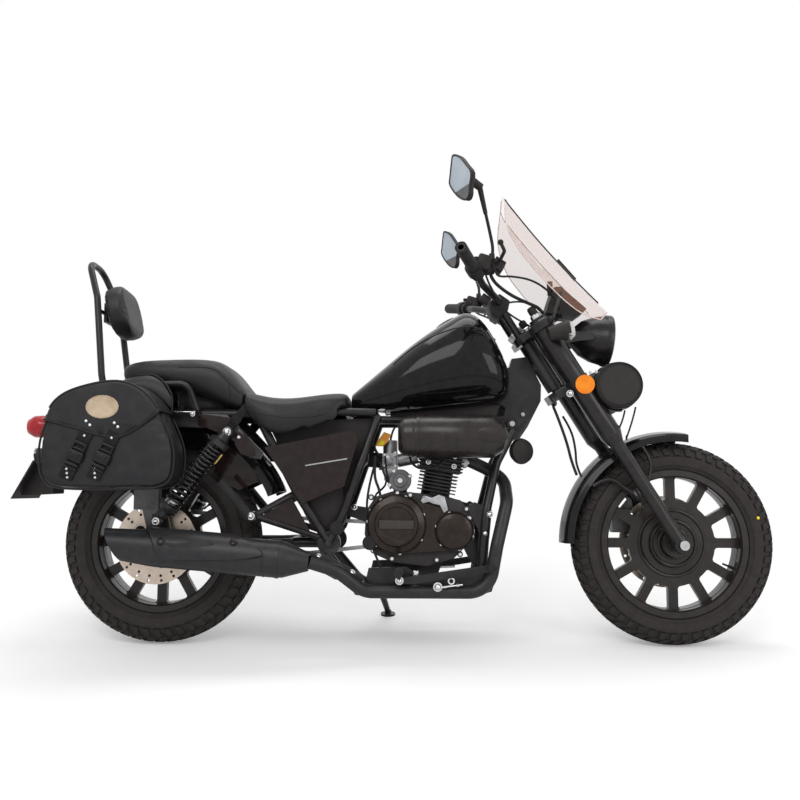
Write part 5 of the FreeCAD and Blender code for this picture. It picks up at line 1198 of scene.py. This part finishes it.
# stay plate filled in between the passenger peg's tubes
bm = bmesh.new()
stay = [(326, -145, 385), (405, -124, 436), (462, -124, 336)]
front = [bm.verts.new(corner) for corner in stay]
back = [bm.verts.new((x, y + 4, z)) for x, y, z in stay]
bm.faces.new(front)
bm.faces.new(back[::-1])
for i in range(3):
    bm.faces.new((front[i], back[i], back[(i + 1) % 3], front[(i + 1) % 3]))
addPiece("pegStayPlate", bm, "glossPlastic")
bm = bmesh.new()
gather(bm, hexBolt(17, 8, domed=True), facing(298, -178, 384))
gather(bm, hexBolt(12, 6, domed=True), facing(118, -163, 678))
gather(bm, rod((-40, -139.5, 685), (128, -139.5, 686), 2.2, sides=12))
for side in (-1, 1):
    gather(bm, socketBolt(10, 4), facing(250, side * 140.5, 612, side))
addPiece("frameBolts", bm, "chrome")

# Side covers: the stripe, the lower box, the covers round the shock's top and the inner fender panels
sideTrim = {
    "stripe": [(446, 527.5), (568, 547.5), (569, 551.5), (446, 531)],
    "lowerBox": [(444, 472), (552, 476), (561, 374), (548, 338), (468, 338), (436, 397)],
    "strutCover": [(128, 682), (214, 678), (240, 652), (224, 640), (200, 622), (150, 640), (128, 646)],
    "shockCover": [(251, 638), (272, 612), (295, 580), (300, 562), (288, 553), (256, 562), (238, 590),
                   (236, 620)],
    "mudPanel": [(164, 584), (196, 612), (236, 606), (284, 560), (296, 484), (240, 456), (176, 486)]}
bm = bmesh.new()
for side in (-1, 1):
    plateAt(bm, sideTrim["stripe"], side * 145.9, 0.9, 0, 1)
    plateAt(bm, sideTrim["lowerBox"], side * 97, 12, 3, 2)
    plateAt(bm, sideTrim["strutCover"], side * 139.6, 2.6, 1.2)
    plateAt(bm, sideTrim["shockCover"], side * 139.4, 3, 1.4)
    plateAt(bm, sideTrim["mudPanel"], side * 74, 4, 1.5)
addPiece("sideCoverTrim", bm, ("glossPlastic", "silverPaint", "blackPlastic"))

# Muffler: heat shield wrapped round its upper side, its bolts, and the joint bands
muffler = {"start": (468, -200, 258), "slope": math.atan2(50, 600), "shield": 58.5,
           # degrees up from level on the outer side: rear edge and front edge along the bike
           "rows": [(-24, 70, 96), (-20, 64, 130), (-8, 54, 262), (6, 46, 330), (14, 42, 344), (30, 34, 332),
                    (50, 22, 300), (72, 8, 268), (96, 0, 250), (116, 0, 244)]}


def onMuffler(x, degrees, radius):
    x0, y0, z0 = muffler["start"]
    turn = math.radians(degrees)
    centre = z0 + (x0 - x) * math.tan(muffler["slope"])
    return (x + radius * math.sin(turn) * math.sin(muffler["slope"]), y0 - radius * math.cos(turn),
            centre + radius * math.sin(turn))


bm = bmesh.new()
rows = smoothLine(muffler["rows"], 3)
columns = 24
grid = [[bm.verts.new(onMuffler(rear + (ahead - rear) * i / columns, degrees, muffler["shield"]))
         for i in range(columns + 1)] for degrees, rear, ahead in rows]
for low, high in zip(grid, grid[1:]):
    for i in range(columns):
        bm.faces.new((low[i], low[i + 1], high[i + 1], high[i]))
shieldPiece = addPiece("mufflerShield", bm, "exhaustBlack", sharp=180)
thickened(shieldPiece, "sheet", 5, -1)
modify(shieldPiece, "softEdges", "BEVEL", width=1.6 * mm, segments=3)
# painted shadow: a near-black rod along the heat shield's border, where the shield shades the muffler under
# it
bm = bmesh.new()
border = [onMuffler(rear, degrees, 53.5) for degrees, rear, ahead in rows] \
    + [onMuffler(ahead, degrees, 53.5) for degrees, rear, ahead in rows[::-1]]
gather(bm, curveMesh(border[::2], 2.6, cyclic=True, steps=2))
addPiece("shieldShadow", bm, "grooveBlack", sharp=60)
bm = bmesh.new()
# pressed ridge across the shield
lines = [smoothLine(line, 4) for line in ([(60, 18), (100, 12), (150, 14), (196, 24), (206, 28)],
                                          [(64, 22), (110, 22), (150, 30), (190, 36), (206, 29)])]
for (a, b) in zip(zip(lines[0], lines[0][1:]), zip(lines[1], lines[1][1:])):
    corners = []
    for (x, degrees), lift in ((a[0], 58.8), (a[1], 58.8), (b[1], 64), (b[0], 64)):
        corners.append(bm.verts.new(onMuffler(x, degrees, lift)))
    bm.faces.new(corners)
    under = [bm.verts.new(onMuffler(x, degrees, 58)) for x, degrees in (b[0], b[1])]
    bm.faces.new((corners[3], corners[2], under[1], under[0]))
addPiece("shieldRidge", bm, "exhaustBlack", sharp=40)
bm = bmesh.new()
for x, degrees in ((62, 24), (261, 42)):
    spot, out = Vector(onMuffler(x, degrees, 58)), Vector(onMuffler(x, degrees, 68))
    gather(bm, turned([(-4, 0), (-4, 12), (1.5, 12), (2, 10), (4, 10), (6, 7), (6, 3), (4, 2), (4, 0)], 28),
           movedTo(spot, out - spot))
for x, radius, wide in ((382, 53.6, 7), (345, 53.2, 2)):
    profile = [(-wide / 2, radius - 3), (-wide / 2, radius), (wide / 2, radius), (wide / 2, radius - 3),
               (-wide / 2, radius - 3)]
    x0, y0, z0 = muffler["start"]
    centre = (x, y0, z0 + (x0 - x) * math.tan(muffler["slope"]))
    gather(bm, turned(profile, 64), movedTo(centre, (-1, 0, math.tan(muffler["slope"]))), 1)
addPiece("mufflerFittings", bm, ("glossPlastic", "exhaustBlack"))
print("engine and exhaust fittings ready")

# Steering: yoke cover, bar clamp, fork caps, bolts, and the cables that turn with the bar
bm = bmesh.new()
plateAt(bm, [(1058, 932), (1084, 959), (1097, 947), (1072, 919)], 0, 92, 2)
addPiece("yokeCover", bm, "silverPaint", "steering")
bm = bmesh.new()
plateAt(bm, [(988, 1030), (1024, 1059), (1056, 1036), (1050, 1008), (1022, 984), (1004, 996)], 0, 124, 4)
addPiece("barClamp", bm, "blackPlastic", "steering")
bm = bmesh.new()
for side in (-1, 1):
    place = movedTo(inFork(0, side * 105, 783), inFork(0, 0, 800) - inFork(0, 0, 700))
    gather(bm, turned([(0, 0), (0, 17), (12, 17), (14, 15), (14, 0)], 28), place)
    gather(bm, turned([(14, 0), (14, 11), (18, 13), (34, 13), (40, 10), (42, 0)], 28), place, 1)
    gather(bm, hexBolt(17, 7, domed=True), facing(1218, side * 142, 741, side))
    for x, z in ((1282, 806), (1300, 808), (1226, 848)):
        gather(bm, hexBolt(8, 4), facing(x, side * 124, z, side))
addPiece("forkBolts", bm, ("chrome", "blackPlastic"), "steering")
bm = bmesh.new()
gather(bm, turned([(0, 0), (0, 17), (10, 17), (13, 15), (13, 9), (10, 8), (10, 0)], 32),
       facing(1060, -34, 660))
gather(bm, turned([(9, 0), (9, 8), (14, 8), (14, 0)], 24), facing(1060, -34, 660), 1)
gather(bm, hexBolt(10, 5), facing(1094, -33, 689), 1)
addPiece("steeringLock", bm, ("blackPlastic", "castAlloy"))
bm = bmesh.new()
for points, radius in (([(1296, -60, 474), (1330, -66, 494), (1360, -70, 492), (1384, -72, 470),
                         (1412, -84, 452)],
                        5.5), ([(1444, -70, 590), (1462, -72, 560), (1468, -72, 530), (1460, -74, 500)],
                               4.5)):
    gather(bm, curveMesh(points, radius, order=3, sides=8))
addPiece("fenderStay", bm, "blackSteel", "steering", sharp=60)
steeringCables = {
    "throttleCable": ([(984, -264, 1100), (992, -258, 1074), (1003, -250, 1062), (1044, -220, 1072),
                       (1113, -150, 1078), (1168, -104, 1056), (1205, -60, 1024), (1216, -40, 985)], 3.2),
    "brakeHose": ([(990, -250, 1104), (978, -236, 1078), (990, -215, 1060), (1014, -185, 1046),
                   (1052, -150, 1030), (1100, -120, 1016), (1150, -100, 1000), (1176, -70, 950)], 5.0),
    "clutchLine": ([(1003, 250, 1056), (1040, 224, 1082), (1110, 160, 1088), (1165, 90, 1050),
                    (1198, 50, 990)], 3.2),
    "forkHoseRight": ([(1182, -60, 712), (1194, -62, 682), (1222, -62, 600), (1234, -60, 545),
                       (1250, -56, 505)], 4.2),
    "forkHoseLeft": ([(1213, -44, 683), (1238, -46, 643), (1250, -48, 580), (1250, -48, 533),
                      (1266, -46, 500)], 3.4)}
for name, (points, radius) in steeringCables.items():
    fixed(name, points, radius, body="steering")

bm = bmesh.new()
for side in (-1, 1):
    # size, edge, place and turn back of each block
    for size, edge, (x, y, z), nod in (((36, 50, 26), 4, (1001, 226, 1098), 0.6),
                                       ((34, 46, 6), 2, (1010, 226, 1112), 0.6),
                                       ((40, 34, 44), 7, (960, 262, 1100), 0.3),
                                       ((12, 14, 10), 2, (938, 262, 1112), 0),
                                       ((10, 12, 14), 2, (940, 262, 1090), 0)):
        gather(bm, roundedBox(size, edge), moved(x, side * y, z) @ Matrix.Rotation(nod, 4, "Y"))
addPiece("barClusters", bm, "blackPlastic", "steering")
for sideName, side in bothSides:
    fixed("switchWire" + sideName, [(962, side * 250, 1082), (972, side * 226, 1058), (996, side * 170, 1036),
                                    (1020, side * 110, 1010), (1060, side * 84, 980), (1120, side * 76, 950)],
          3.0, body="steering")

# Mirrors: stem, collar, knuckle and head, with a dark rim round a glass painted with a reflection: blue-grey
# sky over dark ground
mirrors = {"centre": (893, 352, 1318), "turn": 26, "horizon": -34,
           "stem": [(984, 247, 1112), (988, 250, 1140), (980, 262, 1176), (961, 298, 1240), (946, 324, 1290)],
           "outline": [(46, 80), (8, 61), (-28, 25), (-56, -7), (-46, -44), (-44, -65), (-25, -76), (22, -50),
                       (68, -2), (66, 23), (55, 70)]}


def levelCut(points, level, keepAbove):
    # the part of a closed outline above or below a level
    kept = []
    for a, b in zip(points, points[1:] + points[:1]):
        inside = (a[1] > level) == keepAbove
        if inside:
            kept.append(a)
        if inside != ((b[1] > level) == keepAbove):
            t = (level - a[1]) / (b[1] - a[1])
            kept.append((a[0] + (b[0] - a[0]) * t, level))
    return kept


def shrunk(points, share):
    # an outline drawn in towards the mirror's middle
    middle = Vector((-4, 2))
    return [tuple(middle + (Vector(point) - middle) * share) for point in points]


bm = bmesh.new()
for side in (-1, 1):
    x, y, z = mirrors["centre"]
    place = moved(x, side * y, z) @ Matrix.Rotation(math.radians(mirrors["turn"] - 90), 4, "Z")
    shape = smoothLoop([(-a, b) for a, b in mirrors["outline"]], 3)
    gather(bm, sheetCut(shape, 12, 4, 3), place @ moved(0, 7, 0))
    # the glass in two parts: a painted sky reflection above the horizon and a painted dark ground reflection
    # below it
    for part, above in ((1, True), (2, False)):
        gather(bm, sheetCut(levelCut(shrunk(shape, 0.93), mirrors["horizon"], above), 1.6, 0), place, part)
    ring = [place @ Vector((a, -0.5, b)) for a, b in shrunk(shape, 0.97)]
    gather(bm, curveMesh(ring, 2.9, cyclic=True, steps=2))
    stem = [(a, side * b, c) for a, b, c in mirrors["stem"]]
    gather(bm, curveMesh(stem, 4.6, order=3, sides=12))
    a, b, c = stem[0]
    gather(bm, rod((a, b, c), (a, b, c + 18), 9, 8))
    gather(bm, rod((963, side * 294, 1232), (943, side * 331, 1300), 6, 8))
    gather(bm, rod((948, side * 326, 1296), (916, side * 342, 1313), 11, 13))
addPiece("mirrorHeads", bm, ("blackPlastic", "mirrorGlass", "darkAlloy"), "steering", stands=("mirrors",))
print("steering fittings ready")

# Lines laid on a piece: each point is sought from the side, level with the bike
def laidOn(piece, points, side, lift=0.3, steps=6):
    tree = BVHTree.FromObject(piece, bpy.context.evaluated_depsgraph_get())
    found = []
    for x, z in smoothLine(points, steps):
        start = row((x, side * 500, z))
        hit = tree.ray_cast(start, (row((x, 0, z)) - start).normalized())[0]
        if hit:
            spot = rowToBike @ hit
            found.append((spot.x, spot.y + side * lift, spot.z))
    return found


seams = {"riderSeat": [[(268, 716), (276, 694), (296, 668), (334, 604)], [(555, 752), (552, 702), (545, 650)],
                       [(276, 694), (330, 676), (420, 668), (500, 680), (552, 702)]],
         "pillionSeat": [[(66, 819), (132, 819), (173, 812), (214, 776), (246, 745), (266, 730)],
                         [(214, 776), (222, 740), (214, 700)]]}
bm = bmesh.new()
for name, lines in seams.items():
    for line in lines:
        for side in (-1, 1):
            laid = laidOn(softPieces[name], line, side)
            if len(laid) > 5:
                gather(bm, curveMesh(laid[::2] + laid[-1:], 1.5, sides=6, steps=2))
addPiece("seatSeams", bm, "leatherTrim", sharp=60)
tank = bpy.data.objects["fuel_tankDressed"]
bm = bmesh.new()
for side in (-1, 1):
    for line, thick in (([(700, 836), (740, 872), (795, 908), (860, 934), (920, 944), (975, 934),
                          (1035, 894)], 2.4),
                        ([(622, 748), (700, 742), (820, 744), (940, 756), (1020, 776)], 1.1)):
        laid = laidOn(tank, line, side, 0.15 * thick)
        gather(bm, curveMesh(laid[::3] + laid[-1:], thick, sides=8, steps=2))
addPiece("tankCreases", bm, "glossPaint", sharp=60)
bm = bmesh.new()
top = BVHTree.FromObject(tank, bpy.context.evaluated_depsgraph_get())
down = (row((0, 0, 0)) - row((0, 0, 1))).normalized()
rear, ahead = (rowToBike @ top.ray_cast(row((x, 0, 1400)), down)[0] for x in (846, 874))
middle, lean = (rear + ahead) / 2, ahead - rear
level = Vector((-lean.z, 0, lean.x)).normalized()
gather(bm, turned([(-12, 0), (-12, 34), (1.5, 34), (3, 32), (3, 27), (4.4, 25), (4.4, 0)], 48),
       movedTo(middle, level))
gather(bm, roundedBox((22, 9, 3), 1), movedTo(middle + level * 4.6, level))
addPiece("tankCap", bm, "darkAlloy")
# dark tray under the tank, canister ring and oval pad
bm = bmesh.new()
for y in (-16, 16):
    plateAt(bm, [(690, 672), (690, 702), (860, 716), (1032, 722), (1046, 712), (1040, 682), (860, 668)], y,
            20, 3)
addPiece("wiringTray", bm, "blackPlastic")
bm = bmesh.new()
plateAt(bm, [(942, 616), (948, 631), (966, 637), (1004, 637), (1022, 631), (1029, 616), (1022, 601),
             (1004, 596), (966, 596), (948, 601)], -220.5, 4, 1.6, 0, 3)
gather(bm, turned([(-2.5, 58), (-2.5, 62.8), (2.5, 62.8), (2.5, 58), (-2.5, 58)], 64),
       movedTo((774, -160, 614), (1, 0, 0)))
addPiece("canisterTrim", bm, "canisterBlack")
# paint dot and valves
bm = bmesh.new()
spot = laidOn(bpy.data.objects["frontTyreTread"], [(1785, 380), (1786, 381)], -1, -0.4, 1)[0]
gather(bm, turned([(-1, 0), (-1, 4.5), (1.2, 4.5), (1.2, 0)], 20), facing(*spot))
addPiece("tyreDot", bm, "yellowMark", "front_wheel")
for name, radius, degrees in (("front", 198, -22), ("rear", 186, 40)):
    bm = bmesh.new()
    angle = math.radians(degrees)
    way = Vector((-math.cos(angle), 0, -math.sin(angle)))
    gather(bm, turned([(-6, 0), (-6, 5), (14, 4), (16, 3), (32, 3), (33, 0)], 16),
           movedTo(Vector(bike[name + "Axle"]) - way * radius, way))
    addPiece(name + "Valve", bm, "rubber", name + "_wheel")
for name in ("front", "rear"):
    bm = bmesh.new()
    x, y, z = bike[name + "Axle"]
    for radius, height in ((98, 4), (66, 5), (44, 4)):
        face = laidOn(bpy.data.objects[name + "_rimDressed"], [(x + radius, z), (x + radius + 1, z)], -1, 0,
                      1)
        if face:
            ring = [(-3, radius - 7), (height - 1, radius - 3), (height, radius), (height - 1, radius + 3),
                    (-3, radius + 7), (-3, radius - 7)]
            gather(bm, turned(ring, 72), facing(x, face[0][1], z))
    addPiece(name + "HubRings", bm, "wheelBlack", name + "_wheel")
bm = bmesh.new()
for side in (-1, 1):
    a, b = Vector((283, side * 141, 716)), Vector((222, side * 145, 640))
    way = (b - a).normalized()
    outward = Vector((0, side, 0))
    turn = Matrix((way, outward, outward.cross(way))).transposed().to_4x4()
    gather(bm, roundedBox(((b - a).length, 3.6, 24), 1.2), Matrix.Translation((a + b) / 2) @ turn)
    gather(bm, roundedBox((26, 3, 30), 1.2), Matrix.Translation(a * 0.3 + b * 0.7 + outward * 3) @ turn)
addPiece("bagTie", bm, "webbing")
print("seams and small fittings ready")
